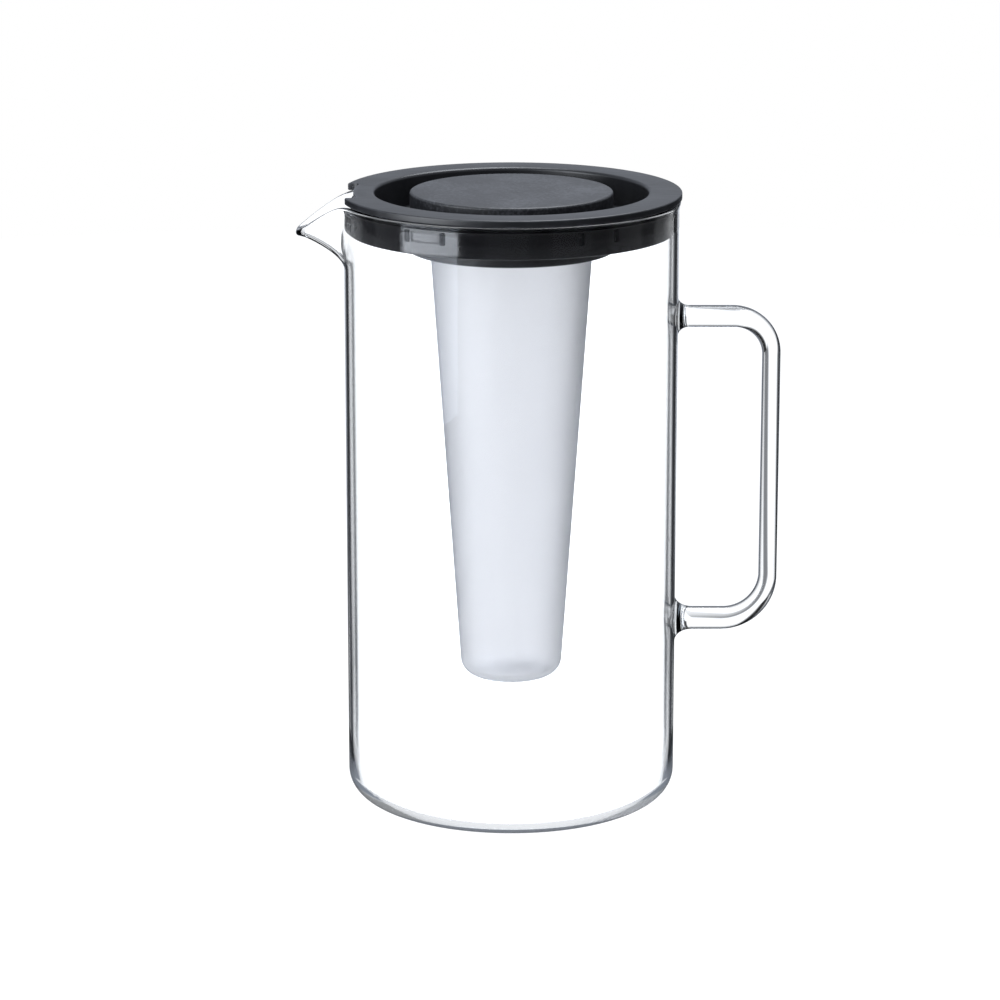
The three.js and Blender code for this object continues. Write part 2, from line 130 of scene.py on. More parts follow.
class Workpiece:
    """A mesh on the bench, shaped with modelling operators and dressed at the end."""

    def __init__(self, name: str) -> None:
        """Takes the object that was added last, names it and puts its place in its mesh.

        Args:
            name: The piece's name in the scene.
        """
        self.thing = bpy.context.object
        self.thing.name = name
        self.thing.data.name = name
        self.settle()

    @staticmethod
    def clear_bench() -> None:
        """Leaves no object selected."""
        bpy.ops.object.select_all(action="DESELECT")

    @classmethod
    def outline(cls, name: str, corners: Sequence[Corner], closed: bool = True) -> "Workpiece":
        """Draws an outline in the XZ plane by extruding one vertex from corner to corner.

        Args:
            name: The piece's name.
            corners: The outline's corners in order.
            closed: Whether the last corner is joined to the first.

        Returns:
            The outline, with its corners rounded.
        """
        cls.clear_bench()
        bpy.ops.mesh.primitive_plane_add(size=MM, location=corners[0].place())
        piece = cls(name)
        with piece.editing():
            bpy.ops.mesh.select_all(action="SELECT")
            bpy.ops.mesh.merge(type="CENTER")
            stops = [*corners, corners[0]] if closed else corners
            for here, there in zip(stops, stops[1:]):
                piece.extrude((there.out - here.out, 0, there.up - here.up))
            bpy.ops.mesh.select_all(action="SELECT")
            bpy.ops.mesh.remove_doubles(threshold=WELD)
            for i, corner in enumerate(corners):
                if corner.rounding:
                    piece.round_corner(corners[i - 1], corner, corners[(i + 1) % len(corners)])
        return piece

    @staticmethod
    def extrude(step: Sequence[float]) -> None:
        """Extrudes what is selected in edit mode by one step."""
        bpy.ops.mesh.extrude_region_move(TRANSFORM_OT_translate={"value": step})

    def round_corner(self, before: Corner, corner: Corner, after: Corner) -> None:
        """Rounds one corner of an outline in edit mode.

        Args:
            before: The corner that the outline comes from.
            corner: The corner to round.
            after: The corner that the outline goes on to.
        """
        at = corner.place()
        back, on = before.place() - at, after.place() - at
        tangent = corner.rounding / math.tan(back.angle(on) / 2)
        self.pick(Element.VERTEX, lambda place: (place - at).length < WELD)
        bpy.ops.mesh.bevel(
            offset=tangent, offset_type="OFFSET", segments=corner.steps, affect="VERTICES",
        )

    @classmethod
    def turned(
        cls, name: str, corners: Sequence[Corner], closed: bool = True,
        sectors: Sequence[Sector] = (Sector(FULL_TURN, TURNED_COLUMNS),),
    ) -> "Workpiece":
        """Turns an outline round the Z axis into a closed skin.

        Args:
            name: The piece's name.
            corners: The outline.
            closed: Whether the outline closes on itself; if not, it starts and ends on the axis.
            sectors: Parts of the turn, which may have columns of different widths.

        Returns:
            The turned piece, with its faces pointing outwards.
        """
        piece = cls.outline(name, corners, closed)
        with piece.editing():
            bpy.ops.mesh.select_all(action="SELECT")
            for sector in sectors:
                bpy.ops.mesh.spin(
                    steps=sector.columns, angle=sector.angle, center=(0, 0, 0), axis=(0, 0, 1),
                )
            piece.weld_all()
        return piece

    @classmethod
    def block(cls, name: str, size: Vector, rounding: float) -> "Workpiece":
        """Makes a box with rounded edges, centred on the origin.

        Args:
            name: The piece's name.
            size: The box's size along X, Y and Z.
            rounding: The radius of its edges.

        Returns:
            The box.
        """
        cls.clear_bench()
        bpy.ops.mesh.primitive_cube_add(size=1, scale=size)
        piece = cls(name)
        with piece.editing():
            bpy.ops.mesh.select_all(action="SELECT")
            bpy.ops.mesh.bevel(offset=rounding, segments=3, affect="EDGES")
            piece.weld_all()
        return piece

    def choose(self) -> None:
        """Selects this piece alone and makes it active."""
        self.clear_bench()
        self.thing.select_set(True)
        bpy.context.view_layer.objects.active = self.thing

    @contextmanager
    def editing(self) -> Iterator[None]:
        """Holds the piece in edit mode, with nothing selected at the start."""
        self.choose()
        bpy.ops.object.mode_set(mode="EDIT")
        bpy.ops.mesh.select_mode(type="VERT")
        bpy.ops.mesh.select_all(action="DESELECT")
        yield
        bpy.ops.object.mode_set(mode="OBJECT")

    def select(self, element: Element, test: Callable[[object], bool]) -> None:
        """Selects, in edit mode, the elements that pass a test, and nothing else.

        Args:
            element: What to select.
            test: Says whether an element is wanted.
        """
        bpy.ops.mesh.select_mode(type=element.value)
        bpy.ops.mesh.select_all(action="DESELECT")
        mesh = bmesh.from_edit_mesh(self.thing.data)
        items = {Element.VERTEX: mesh.verts, Element.EDGE: mesh.edges, Element.FACE: mesh.faces}[element]
        for item in [item for item in items if test(item)]:
            item.select_set(True)
        mesh.select_flush_mode()
        bmesh.update_edit_mesh(self.thing.data)

    def pick(self, element: Element, test: Callable[[Vector], bool]) -> None:
        """Selects, in edit mode, the vertices or faces whose middle passes a test, and nothing else.

        Args:
            element: What to select.
            test: Says whether an element with this middle is wanted.
        """
        if element is Element.VERTEX:
            self.select(element, lambda vertex: test(vertex.co))
        else:
            self.select(element, lambda face: test(face.calc_center_median()))

    @staticmethod
    def weld_all() -> None:
        """Merges vertices that coincide, in edit mode, and turns every face outwards."""
        bpy.ops.mesh.select_mode(type="VERT")
        bpy.ops.mesh.select_all(action="SELECT")
        bpy.ops.mesh.remove_doubles(threshold=WELD)
        bpy.ops.mesh.normals_make_consistent(inside=False)
        bpy.ops.mesh.select_all(action="DESELECT")

    def move_points(self, rule: Callable[[Vector], Vector]) -> None:
        """Moves every vertex to where a rule puts it.

        Args:
            rule: Gives a vertex's new place from its old one.
        """
        for vertex in self.thing.data.vertices:
            vertex.co = rule(vertex.co.copy())
        self.thing.data.update()

    def place(self, direction: float, radius: float, height: float) -> None:
        """Moves the piece out along X, then turns it round the Z axis.

        Args:
            direction: The turn from +X.
            radius: The distance from the axis.
            height: The rise.
        """
        self.thing.location = (radius * math.cos(direction), radius * math.sin(direction), height)
        self.thing.rotation_euler = (0, 0, direction)
        self.settle()

    def settle(self) -> None:
        """Puts the object at the origin, with its place in its mesh."""
        self.choose()
        bpy.ops.object.transform_apply(location=True, rotation=True, scale=True)

    @staticmethod
    def joined(pieces: Sequence["Workpiece"]) -> "Workpiece":
        """Joins pieces into the first of them, without any cut.

        Args:
            pieces: The pieces.

        Returns:
            The first piece, which now holds them all.
        """
        pieces[0].choose()
        for other in pieces[1:]:
            other.thing.select_set(True)
        bpy.ops.object.join()
        return pieces[0]

    def modify(self, kind: str, **settings: object) -> None:
        """Adds a modifier and applies it.

        Args:
            kind: The modifier's type.
            **settings: Values of the modifier.
        """
        self.choose()
        modifier = self.thing.modifiers.new(kind.title(), kind)
        for key, value in settings.items():
            setattr(modifier, key, value)
        bpy.ops.object.modifier_apply(modifier=modifier.name)

    def combine(self, how: Join, tool: "Workpiece") -> None:
        """Adds or cuts another solid, which is used up.

        Args:
            how: Whether the tool is added or cut.
            tool: The other solid.
        """
        self.modify("BOOLEAN", operation=how.value, solver="EXACT", object=tool.thing)
        bpy.data.objects.remove(tool.thing)
        with self.editing():
            self.weld_all()

    def soften_edges(self, width: float, region: Callable[[Vector], bool]) -> None:
        """Bevels the sharp edges of one region.

        Args:
            width: The bevel's width.
            region: Says whether an edge with this middle is in the region.
        """
        with self.editing():
            self.select(Element.EDGE, lambda edge: (
                len(edge.link_faces) == 2
                and edge.calc_face_angle() > SHARP_ABOVE
                and region((edge.verts[0].co + edge.verts[1].co) / 2)
            ))
            bpy.ops.mesh.bevel(offset=width, segments=2, affect="EDGES", clamp_overlap=True)
            self.weld_all()

    def dress(self, body: Body, slot: Slot, material: bpy.types.Material, *nodes: str) -> None:
        """Smooths the piece, gives it its finish and puts it on its body.

        Args:
            body: The body that it rides on.
            slot: The record's material slot; not used.
            material: The finish.
            *nodes: The frame's nodes that the piece stands for.
        """
        self.settle()
        bpy.ops.object.shade_smooth_by_angle(angle=SMOOTH_BELOW)
        self.thing.data.materials.clear()
        self.thing.data.materials.append(material)
        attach(self.thing, body.value)
        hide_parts(*nodes)
        log.info("%s on %s: %d faces", self.thing.name, body.value, len(self.thing.data.polygons))


class Tree:
    """A node tree in the making."""

    def __init__(self, tree: bpy.types.NodeTree) -> None:
        """Starts on a tree, whose nodes are removed."""
        self.tree = tree
        tree.nodes.clear()

    def add(
        self, kind: str, values: dict[str | int, object] | None = None, **settings: object,
    ) -> bpy.types.Node:
        """Adds a node, sets it and feeds its inputs.

        Args:
            kind: The node's type without its leading ShaderNode.
            values: A value or an output socket for each named or numbered input.
            **settings: The node's own properties.

        Returns:
            The node.
        """
        node = self.tree.nodes.new(kind if kind.startswith("Node") else f"ShaderNode{kind}")
        for key, value in settings.items():
            setattr(node, key, value)
        for key, value in (values or {}).items():
            if isinstance(value, Socket):
                self.tree.links.new(value, node.inputs[key])
            else:
                node.inputs[key].default_value = value
        return node

    def use(self, group: bpy.types.NodeTree, **values: object) -> Socket:
        """Places a node group with its own values.

        Args:
            group: The group.
            **values: A value or a socket for each named input.

        Returns:
            The group's output.
        """
        return self.add("Group", values, node_tree=group).outputs[0]

    def math(self, operation: str, *values: object, clamp: bool = False) -> Socket:
        """Adds a Math node.

        Args:
            operation: What it does.
            *values: Its inputs, numbers or sockets.
            clamp: Whether the result is kept between 0 and 1.

        Returns:
            The result's socket.
        """
        node = self.add("Math", dict(enumerate(values)), operation=operation, use_clamp=clamp)
        return node.outputs[0]

    def times(self, first: object, *others: object) -> Socket:
        """Multiplies numbers or sockets."""
        for other in others:
            first = self.math("MULTIPLY", first, other)
        return first

    def mix(self, share: object, first: object, second: object) -> Socket:
        """Mixes two numbers, of which the second has the share."""
        return self.add("Mix", {0: share, 2: first, 3: second}).outputs[0]

    def blend(self, share: object, first: object, second: object) -> Socket:
        """Mixes two colours, of which the second has the share."""
        return self.add("Mix", {0: share, 6: first, 7: second}, data_type="RGBA").outputs[2]

    def ease(self, value: Socket, span: Span, to_low: float, to_high: float) -> Socket:
        """Maps a span onto another with soft ends.

        Args:
            value: The socket to map.
            span: Where the mapping starts and ends.
            to_low: The result at the start.
            to_high: The result at the end.

        Returns:
            The result's socket.
        """
        values = {0: value, 1: span[0], 2: span[1], 3: to_low, 4: to_high}
        return self.add("MapRange", values, interpolation_type="SMOOTHSTEP").outputs[0]

    def part(self, vector: Socket, axis: str) -> Socket:
        """One part of a vector."""
        return self.add("SeparateXYZ", {0: vector}).outputs[axis]

    def place(self) -> Socket:
        """The place on the piece."""
        return self.add("TexCoord").outputs["Object"]

    def noise(
        self, scale: object, detail: float, roughness: float = 0.5, place: Socket | None = None,
    ) -> Socket:
        """Adds a noise pattern.

        Args:
            scale: The pattern's scale, a number or a socket.
            detail: The number of finer layers.
            roughness: The strength of the finer layers.
            place: Where the pattern is read, the place on the piece if it isn't given.

        Returns:
            The pattern's socket.
        """
        values = {"Vector": place or self.place(), "Scale": scale, "Detail": detail, "Roughness": roughness}
        return self.add("TexNoise", values).outputs[0]

    def bump(self, height: Socket, distance: float) -> Socket:
        """Turns a height pattern into a normal, for a relief as high as the distance."""
        return self.add("Bump", {"Height": height, "Strength": 1.0, "Distance": distance}).outputs["Normal"]


def new_group(
    name: str, inputs: dict[str, object], outputs: dict[str, str],
) -> tuple[bpy.types.NodeTree, Tree, bpy.types.bpy_prop_collection]:
    """Starts a shader node group with named sockets.

    Args:
        name: The group's name.
        inputs: Each input's default, a number or a colour, or its socket type.
        outputs: Each output's socket type.

    Returns:
        The group, its tree and the sockets that bring its inputs.
    """
    group = bpy.data.node_groups.new(name, "ShaderNodeTree")
    tree = Tree(group)
    for key, value in inputs.items():
        if isinstance(value, str):
            group.interface.new_socket(key, in_out="INPUT", socket_type=value)
            continue
        kind = "NodeSocketColor" if isinstance(value, tuple) else "NodeSocketFloat"
        socket = group.interface.new_socket(key, in_out="INPUT", socket_type=kind)
        socket.default_value = value
    for key, kind in outputs.items():
        group.interface.new_socket(key, in_out="OUTPUT", socket_type=kind)
    return group, tree, tree.add("NodeGroupInput").outputs


def new_material(name: str) -> tuple[bpy.types.Material, Tree]:
    """Starts a material.

    Args:
        name: The material's name.

    Returns:
        The material and its empty tree.
    """
    made = bpy.data.materials.new(name)
    made.use_nodes = True
    return made, Tree(made.node_tree)


class Effects:
    """Effects that several finishes share, each a node group built once."""

    SWELL_SHARE = 0.06
    CLOUD_SCALE = 38.0
    CLOUD_SPAN = (0.35, 0.7)
    STREAK_SCALE = 60.0
    STREAK_SPAN = (0.5, 0.72)
    STREAK_TURN = (0.3, 0.2, 0.6)
    STREAK_STRETCH = (1, 14, 9)
    PATCH_SCALE = 220.0
    PATCH_SPAN = (0.3, 0.7)
    PATCH_LOW = 0.4
    LEVEL_FACE = (0.97, 0.995)
    OUTER_EDGE = (0.505, 0.56)

    def __init__(self) -> None:
        """Builds the groups."""
        self.grain = self.build_grain()
        self.handling = self.build_handling()
        self.edge_wear_and_highlight = self.build_edge_wear_and_highlight()
        self.made: dict[str, bpy.types.Material] = {}

    def finished(self, finish: "PlasticFinish") -> bpy.types.Material:
        """Gives the one material of a finish.

        Args:
            finish: The finish.

        Returns:
            The material, built when it is first asked for.
        """
        if finish.name not in self.made:
            self.made[finish.name] = finish.material(self)
        return self.made[finish.name]

    def build_grain(self) -> bpy.types.NodeTree:
        """Builds the moulded grain: a fine pitted height with a slower swell under it.

        Returns:
            The group, with inputs Scale and Swell and the output Height.
        """
        group, tree, given = new_group(
            "moulded_grain", {"Scale": 1500.0, "Swell": 0.3}, {"Height": "NodeSocketFloat"},
        )
        pits = tree.noise(given["Scale"], 2.0, 0.6)
        swell = tree.noise(tree.times(given["Scale"], self.SWELL_SHARE), 1.0)
        height = tree.math("MULTIPLY_ADD", swell, given["Swell"], pits)
        tree.add("NodeGroupOutput", {"Height": height})
        return group

    def build_handling(self) -> bpy.types.NodeTree:
        """Builds the traces of handling: soft clouds and fine wiped streaks in the roughness.

        Returns:
            The group, with inputs Roughness, Clouds and Streaks and the output Roughness.
        """
        group, tree, given = new_group(
            "handling",
            {"Roughness": 0.3, "Clouds": 0.1, "Streaks": 0.05},
            {"Roughness": "NodeSocketFloat"},
        )
        values = {"Vector": tree.place(), "Rotation": self.STREAK_TURN, "Scale": self.STREAK_STRETCH}
        stretched = tree.add("Mapping", values).outputs[0]
        cloud = tree.ease(tree.noise(self.CLOUD_SCALE, 3.0, 0.55), self.CLOUD_SPAN, 0, 1)
        wiped = tree.noise(self.STREAK_SCALE, 3.0, place=stretched)
        streak = tree.ease(wiped, self.STREAK_SPAN, 0, 1)
        more = tree.math("MULTIPLY_ADD", cloud, given["Clouds"], given["Roughness"])
        total = tree.math("MULTIPLY_ADD", streak, given["Streaks"], more, clamp=True)
        tree.add("NodeGroupOutput", {"Roughness": total})
        return group

    def build_edge_wear_and_highlight(self) -> bpy.types.NodeTree:
        """Builds the paler outer edges where they stand out: rubbed wear together with a painted highlight
        along rounded rims.

        Returns:
            The group, with inputs Colour, the pale colour of wear and highlight, and Amount, and the output
            Colour.
        """
        group, tree, given = new_group(
            "edge_wear_and_highlight",
            {"Colour": (0.02, 0.02, 0.02, 1), "Worn": (0.08, 0.08, 0.09, 1), "Amount": 0.5},
            {"Colour": "NodeSocketColor"},
        )
        shape = tree.add("NewGeometry").outputs
        # Painted highlight mixed with wear: convex rounded edges, away from flat faces, turn paler in
        # broken patches.
        upright = tree.math("ABSOLUTE", tree.part(shape["Normal"], "Z"))
        sloping = tree.ease(upright, self.LEVEL_FACE, 1, 0)
        edge = tree.ease(shape["Pointiness"], self.OUTER_EDGE, 0, 1)
        broken = tree.ease(tree.noise(self.PATCH_SCALE, 4.0), self.PATCH_SPAN, self.PATCH_LOW, 1)
        share = tree.times(edge, sloping, broken, given["Amount"])
        tree.add("NodeGroupOutput", {"Colour": tree.blend(share, given["Colour"], given["Worn"])})
        return group


@dataclass(frozen=True)
class PlasticFinish:
    """An opaque moulding or rubber: its colour, its grain and how it has been handled."""

    name: str
    colour: Colour
    # The pale colour of rubbed edges and of the painted highlight on rims, which also colours the grain's
    # speckles; the amount follows.
    pale_wear_highlight_and_grain: Colour
    wear_and_highlight: float
    roughness: float
    clouds: float
    streaks: float
    grain_scale: float
    grain_height: float
    grain_swell: float = 0.4
    speckle_span: Span = (0.6, 0.95)
    speckle: float = 0.0
    specular: float = 0.5

    def material(self, effects: Effects) -> bpy.types.Material:
        """Builds the material.

        Args:
            effects: The shared effects.

        Returns:
            The material.
        """
        made, tree = new_material(self.name)
        colour = tree.use(effects.edge_wear_and_highlight, Colour=self.colour, Worn=self.pale_wear_highlight_and_grain, Amount=self.wear_and_highlight)
        grain = tree.use(effects.grain, Scale=self.grain_scale, Swell=self.grain_swell)
        peaks = tree.ease(grain, self.speckle_span, 0, self.speckle)
        shader = tree.add("BsdfPrincipled", {
            "Base Color": tree.blend(peaks, colour, self.pale_wear_highlight_and_grain),
            "Roughness": tree.use(
                effects.handling, Roughness=self.roughness, Clouds=self.clouds, Streaks=self.streaks,
            ),
            "Specular IOR Level": self.specular,
            "Normal": tree.bump(grain, self.grain_height),
        })
        tree.add("OutputMaterial", {"Surface": shader.outputs[0]})
        return made


# Each finish's pale edge colour and amount paint a highlight on rounded rims along with their wear.
SATIN_LID = PlasticFinish(
    "satin_lid_plastic", colour=(0.004, 0.0042, 0.0055, 1), pale_wear_highlight_and_grain=(0.15, 0.157, 0.175, 1), wear_and_highlight=0.6,
    roughness=0.32, clouds=0.08, streaks=0.05, grain_scale=2600.0, grain_height=0.02 * MM,
)
POLISHED_SKIRT = PlasticFinish(
    "polished_skirt_plastic", colour=(0.003, 0.003, 0.004, 1), pale_wear_highlight_and_grain=(0.03, 0.031, 0.036, 1), wear_and_highlight=0.2,
    roughness=0.08, clouds=0.05, streaks=0.04, grain_scale=900.0, grain_height=0.002 * MM, specular=0.6,
)
GRAINED_KNOB = PlasticFinish(
    "grained_knob_plastic", colour=(0.007, 0.0075, 0.0095, 1), pale_wear_highlight_and_grain=(0.2, 0.21, 0.235, 1), wear_and_highlight=0.35,
    roughness=0.42, clouds=0.05, streaks=0.0, grain_scale=900.0, grain_height=0.06 * MM, speckle=0.2,
)
SILICONE = PlasticFinish(
    "silicone_rubber", colour=(0.006, 0.006, 0.007, 1), pale_wear_highlight_and_grain=(0.04, 0.04, 0.044, 1), wear_and_highlight=0.2,
    roughness=0.55, clouds=0.15, streaks=0.0, grain_scale=3200.0, grain_height=0.015 * MM,
)


@dataclass(frozen=True)
class GlassFinish:
    """Clear blown glass, darkened by painted shade where it is seen edge on, in place of the dark outlines
    that refraction of the surroundings gives.

    The spans are of the Layer Weight node's facing, 0 where the surface is seen straight on.
    """

    name: str = "clear_glass"
    refraction: float = 1.47
    clear: Colour = (0.99, 0.995, 1.0, 1)
    # Painted faint shade at middling facings.
    shade: Colour = (0.97, 0.98, 0.99, 1)
    shade_span: Span = (0.2, 0.8)
    # Painted shade of walls seen nearly edge on, and the spans where it rises and falls.
    wall_edge_painted_shade: Colour = (0.006, 0.007, 0.009, 1)
    wall_rise: Span = (0.74, 0.80)
    wall_fall: Span = (0.83, 0.92)
    wall_rest: float = 0.3
    # Painted shade on the sides of the handle rod.
    rod_edge_painted_shade: Colour = (0.012, 0.014, 0.018, 1)
    rod_rise: Span = (0.26, 0.60)
    rod_start: float = 64.5 * MM
    rod_fade: float = 3 * MM
    # Below this height the walls' painted shade fades to a small share.
    foot_height: float = 8 * MM
    foot_fade: float = 10 * MM
    foot_share: float = 0.08
    mirror: Colour = (0.25, 0.26, 0.28, 1)
    body_colour: Colour = (0.55, 0.64, 0.68, 1)
    density: float = 9.0
    wave_scale: float = 24.0
    wave_height: float = 0.05 * MM

    def colour(self, tree: Tree, foot_span: Span) -> Socket:
        """Builds the colour that light takes where it passes the surface, with painted shade where walls
        and the handle rod are seen edge on.

        Args:
            tree: The material's tree.
            foot_span: The heights between which the clear foot ends.

        Returns:
            The colour's socket.
        """
        facing = tree.add("LayerWeight", {"Blend": 0.5}).outputs["Facing"]
        rod_span = (self.rod_start, self.rod_start + self.rod_fade)
        rod = tree.ease(tree.part(tree.place(), "X"), rod_span, 0, 1)
        shaded = tree.blend(tree.ease(facing, self.shade_span, 0, 1), self.clear, self.shade)
        # Painted shade: a dark band where walls are seen nearly edge on, faint at the foot.
        wall_painted_shade_mask = tree.times(
            tree.ease(facing, self.wall_rise, 0, 1),
            tree.ease(facing, self.wall_fall, 1, self.wall_rest),
            tree.ease(tree.part(tree.place(), "Z"), foot_span, self.foot_share, 1),
        )
        bent = tree.blend(tree.ease(facing, self.rod_rise, 0, 1), self.clear, self.rod_edge_painted_shade)
        return tree.blend(rod, tree.blend(wall_painted_shade_mask, shaded, self.wall_edge_painted_shade), bent)

    def material(self) -> bpy.types.Material:
        """Builds the material.

        Returns:
            The material. Shadows and light that is trapped in the foot go through it unbent.
        """
        made, tree = new_material(self.name)
        foot_span = (self.foot_height, self.foot_height + self.foot_fade)
        shader = tree.add("BsdfPrincipled", {
            "Base Color": self.colour(tree, foot_span),
            "Roughness": 0.0,
            "IOR": self.refraction,
            "Specular Tint": self.mirror,
            "Transmission Weight": 1.0,
            "Normal": tree.bump(tree.noise(self.wave_scale, 1.0), self.wave_height),
        })
        see_through = tree.add("BsdfTransparent", {"Color": self.clear})
        path = tree.add("LightPath").outputs
        lit = tree.math("MAXIMUM", path["Is Shadow Ray"], path["Is Diffuse Ray"])
        mirrored = tree.math("GREATER_THAN", path["Glossy Depth"], SECOND)
        trapped = tree.times(mirrored, tree.ease(tree.part(tree.place(), "Z"), foot_span, 1, 0))
        straight = tree.math("MAXIMUM", lit, trapped)
        mixed = tree.add("MixShader", {0: straight, 1: shader.outputs[0], 2: see_through.outputs[0]})
        depth = tree.add("VolumeAbsorption", {"Color": self.body_colour, "Density": self.density})
        tree.add("OutputMaterial", {"Surface": mixed.outputs[0], "Volume": depth.outputs[0]})
        return made


@dataclass(frozen=True)
class FrostedFinish:
    """Lightly frosted, milky plastic that light passes through, with painted shade towards its outline."""

    name: str = "frosted_plastic"
    refraction: float = 1.4
    colour: Colour = (0.77, 0.772, 0.785, 1)
    # Painted shade: the insert's colour darkens towards its outline, where it is seen edge on.
    edge: Colour = (0.42, 0.44, 0.50, 1)
    edge_shade_span: Span = (0.55, 1.0)
    clearness: float = 0.85
    roughness: float = 0.29
    clouds: float = 0.07
    streaks: float = 0.04
    swell_scale: float = 90.0
    swell_height: float = 0.12 * MM

    def material(self, effects: Effects) -> bpy.types.Material:
        """Builds the material.

        Args:
            effects: The shared effects.

        Returns:
            The material.
        """
        made, tree = new_material(self.name)
        facing = tree.add("LayerWeight", {"Blend": 0.5}).outputs["Facing"]
        shader = tree.add("BsdfPrincipled", {
            "Base Color": tree.blend(tree.ease(facing, self.edge_shade_span, 0, 1), self.colour, self.edge),
            "Roughness": tree.use(
                effects.handling, Roughness=self.roughness, Clouds=self.clouds, Streaks=self.streaks,
            ),
            "IOR": self.refraction,
            "Transmission Weight": self.clearness,
            "Normal": tree.bump(tree.noise(self.swell_scale, 0.0), self.swell_height),
        })
        see_through = tree.add("BsdfTransparent", {"Color": self.colour})
        shadow = tree.add("LightPath").outputs["Is Shadow Ray"]
        mixed = tree.add("MixShader", {0: shadow, 1: shader.outputs[0], 2: see_through.outputs[0]})
        tree.add("OutputMaterial", {"Surface": mixed.outputs[0]})
        return made


@dataclass(frozen=True)
class RodFoot:
    """An end of the handle, spread out where it is fused to the wall."""

    thickness: float
    proud: float
    length: float
    bend: float

    def reach(self) -> float:
        """Half the height of the spread foot."""
        return self.thickness / 2 + self.proud


@dataclass
class Handle:
    """A bent glass rod, flatter in the grip, whose ends spread into feet."""

    wall_radius: float
    width: float = 9.4 * MM
    grip_thickness: float = 7 * MM
    upper: RodFoot = RodFoot(8.3 * MM, 3.4 * MM, 4 * MM, 14.5 * MM)
    lower: RodFoot = RodFoot(8.8 * MM, 4.6 * MM, 6.5 * MM, 17.5 * MM)
    sides: int = 64
    bend_steps: int = 22
    foot_steps: int = 9
    grip_x: float = field(init=False)
    upper_height: float = field(init=False)
    lower_height: float = field(init=False)

    def __post_init__(self) -> None:
        """Takes the rod's place from the frame."""
        low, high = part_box("handle")
        self.grip_x = high.x - self.grip_thickness / 2
        self.upper_height = high.z - self.upper.reach()
        self.lower_height = low.z + self.lower.reach()

    def extend_foot(self, foot: RodFoot) -> None:
        """Extrudes the selected ring to the wall in edit mode, in steps that grow shorter.

        Args:
            foot: The foot.
        """
        turns = [QUARTER_TURN * (1 - i / self.foot_steps) for i in range(self.foot_steps + 1)]
        stations = [foot.length * (1 - math.cos(turn)) for turn in turns]
        for here, there in zip(stations, stations[1:]):
            Workpiece.extrude((there - here, 0, 0))

    def rod(self) -> Workpiece:
        """Bends the rod and spreads its feet.

        Returns:
            The rod, open at both ends, where it meets the outside of the wall.
        """
        upper_start = self.wall_radius + self.upper.length
        Workpiece.clear_bench()
        bpy.ops.mesh.primitive_circle_add(
            vertices=self.sides, radius=self.width / 2,
            location=(upper_start, 0, self.upper_height), rotation=(0, QUARTER_TURN, 0),
        )
        rod = Workpiece("handle_rod")
        with rod.editing():
            bpy.ops.mesh.select_all(action="SELECT")
            arm = self.grip_x - self.upper.bend - upper_start
            rod.extrude((arm, 0, 0))
            self.bend(self.upper, self.upper_height - self.upper.bend)
            grip = self.upper_height - self.upper.bend - self.lower_height - self.lower.bend
            rod.extrude((0, 0, -grip))
            self.bend(self.lower, self.lower_height + self.lower.bend)
            arm = self.grip_x - self.lower.bend - self.wall_radius - self.lower.length
            rod.extrude((-arm, 0, 0))
            self.extend_foot(self.lower)
            rod.pick(Element.VERTEX, lambda place: (
                place.x < upper_start + WELD and self.is_upper(place)
            ))
            self.extend_foot(self.upper)
            rod.weld_all()
        rod.move_points(self.shaped)
        return rod

    def bend(self, foot: RodFoot, centre_height: float) -> None:
        """Spins the selected ring through a quarter turn, towards the grip or back from it.

        Args:
            foot: The foot at that end, which has the bend's radius.
            centre_height: The height of the bend's centre.
        """
        bpy.ops.mesh.spin(
            steps=self.bend_steps, angle=-QUARTER_TURN,
            center=(self.grip_x - foot.bend, 0, centre_height), axis=(0, 1, 0),
        )

    def is_upper(self, place: Vector) -> bool:
        """Whether a point is on the upper half of the rod."""
        return place.z > (self.upper_height + self.lower_height) / 2

    def shaped(self, place: Vector) -> Vector:
        """Gives a point of the round rod its place on the flattened rod with spread feet.

        Args:
            place: The point on the round rod.

        Returns:
            Its final place.
        """
        hand = 1 if self.is_upper(place) else -1
        foot = self.upper if hand > 0 else self.lower
        height = self.upper_height if hand > 0 else self.lower_height
        centre = Vector((self.grip_x - foot.bend, 0, height - hand * foot.bend))
        if (place.z - centre.z) * hand < 0:
            across = self.grip_thickness / self.width
            return Vector((self.grip_x + (place.x - self.grip_x) * across, place.y, place.z))
        if place.x > centre.x:
            arm = place - centre
            radius = math.hypot(arm.x, arm.z)
            turn = math.atan2(arm.x, abs(arm.z)) / QUARTER_TURN
            thickness = foot.thickness + (self.grip_thickness - foot.thickness) * turn
            scale = (foot.bend + (radius - foot.bend) * thickness / self.width) / radius
            return Vector((centre.x + arm.x * scale, place.y, centre.z + arm.z * scale))
        off = place.x - self.wall_radius
        share = min(max(off / foot.length, 0), 1)
        spread = foot.proud * (1 - math.sqrt(1 - (1 - share) ** 2))
        y = place.y * (self.width / 2 + spread) / (self.width / 2)
        z = height + (place.z - height) * (foot.thickness / 2 + spread) / (self.width / 2)
        wall = math.sqrt(self.wall_radius**2 - y**2)
        return Vector((wall * (1 - share) + self.wall_radius * share + off, y, z))


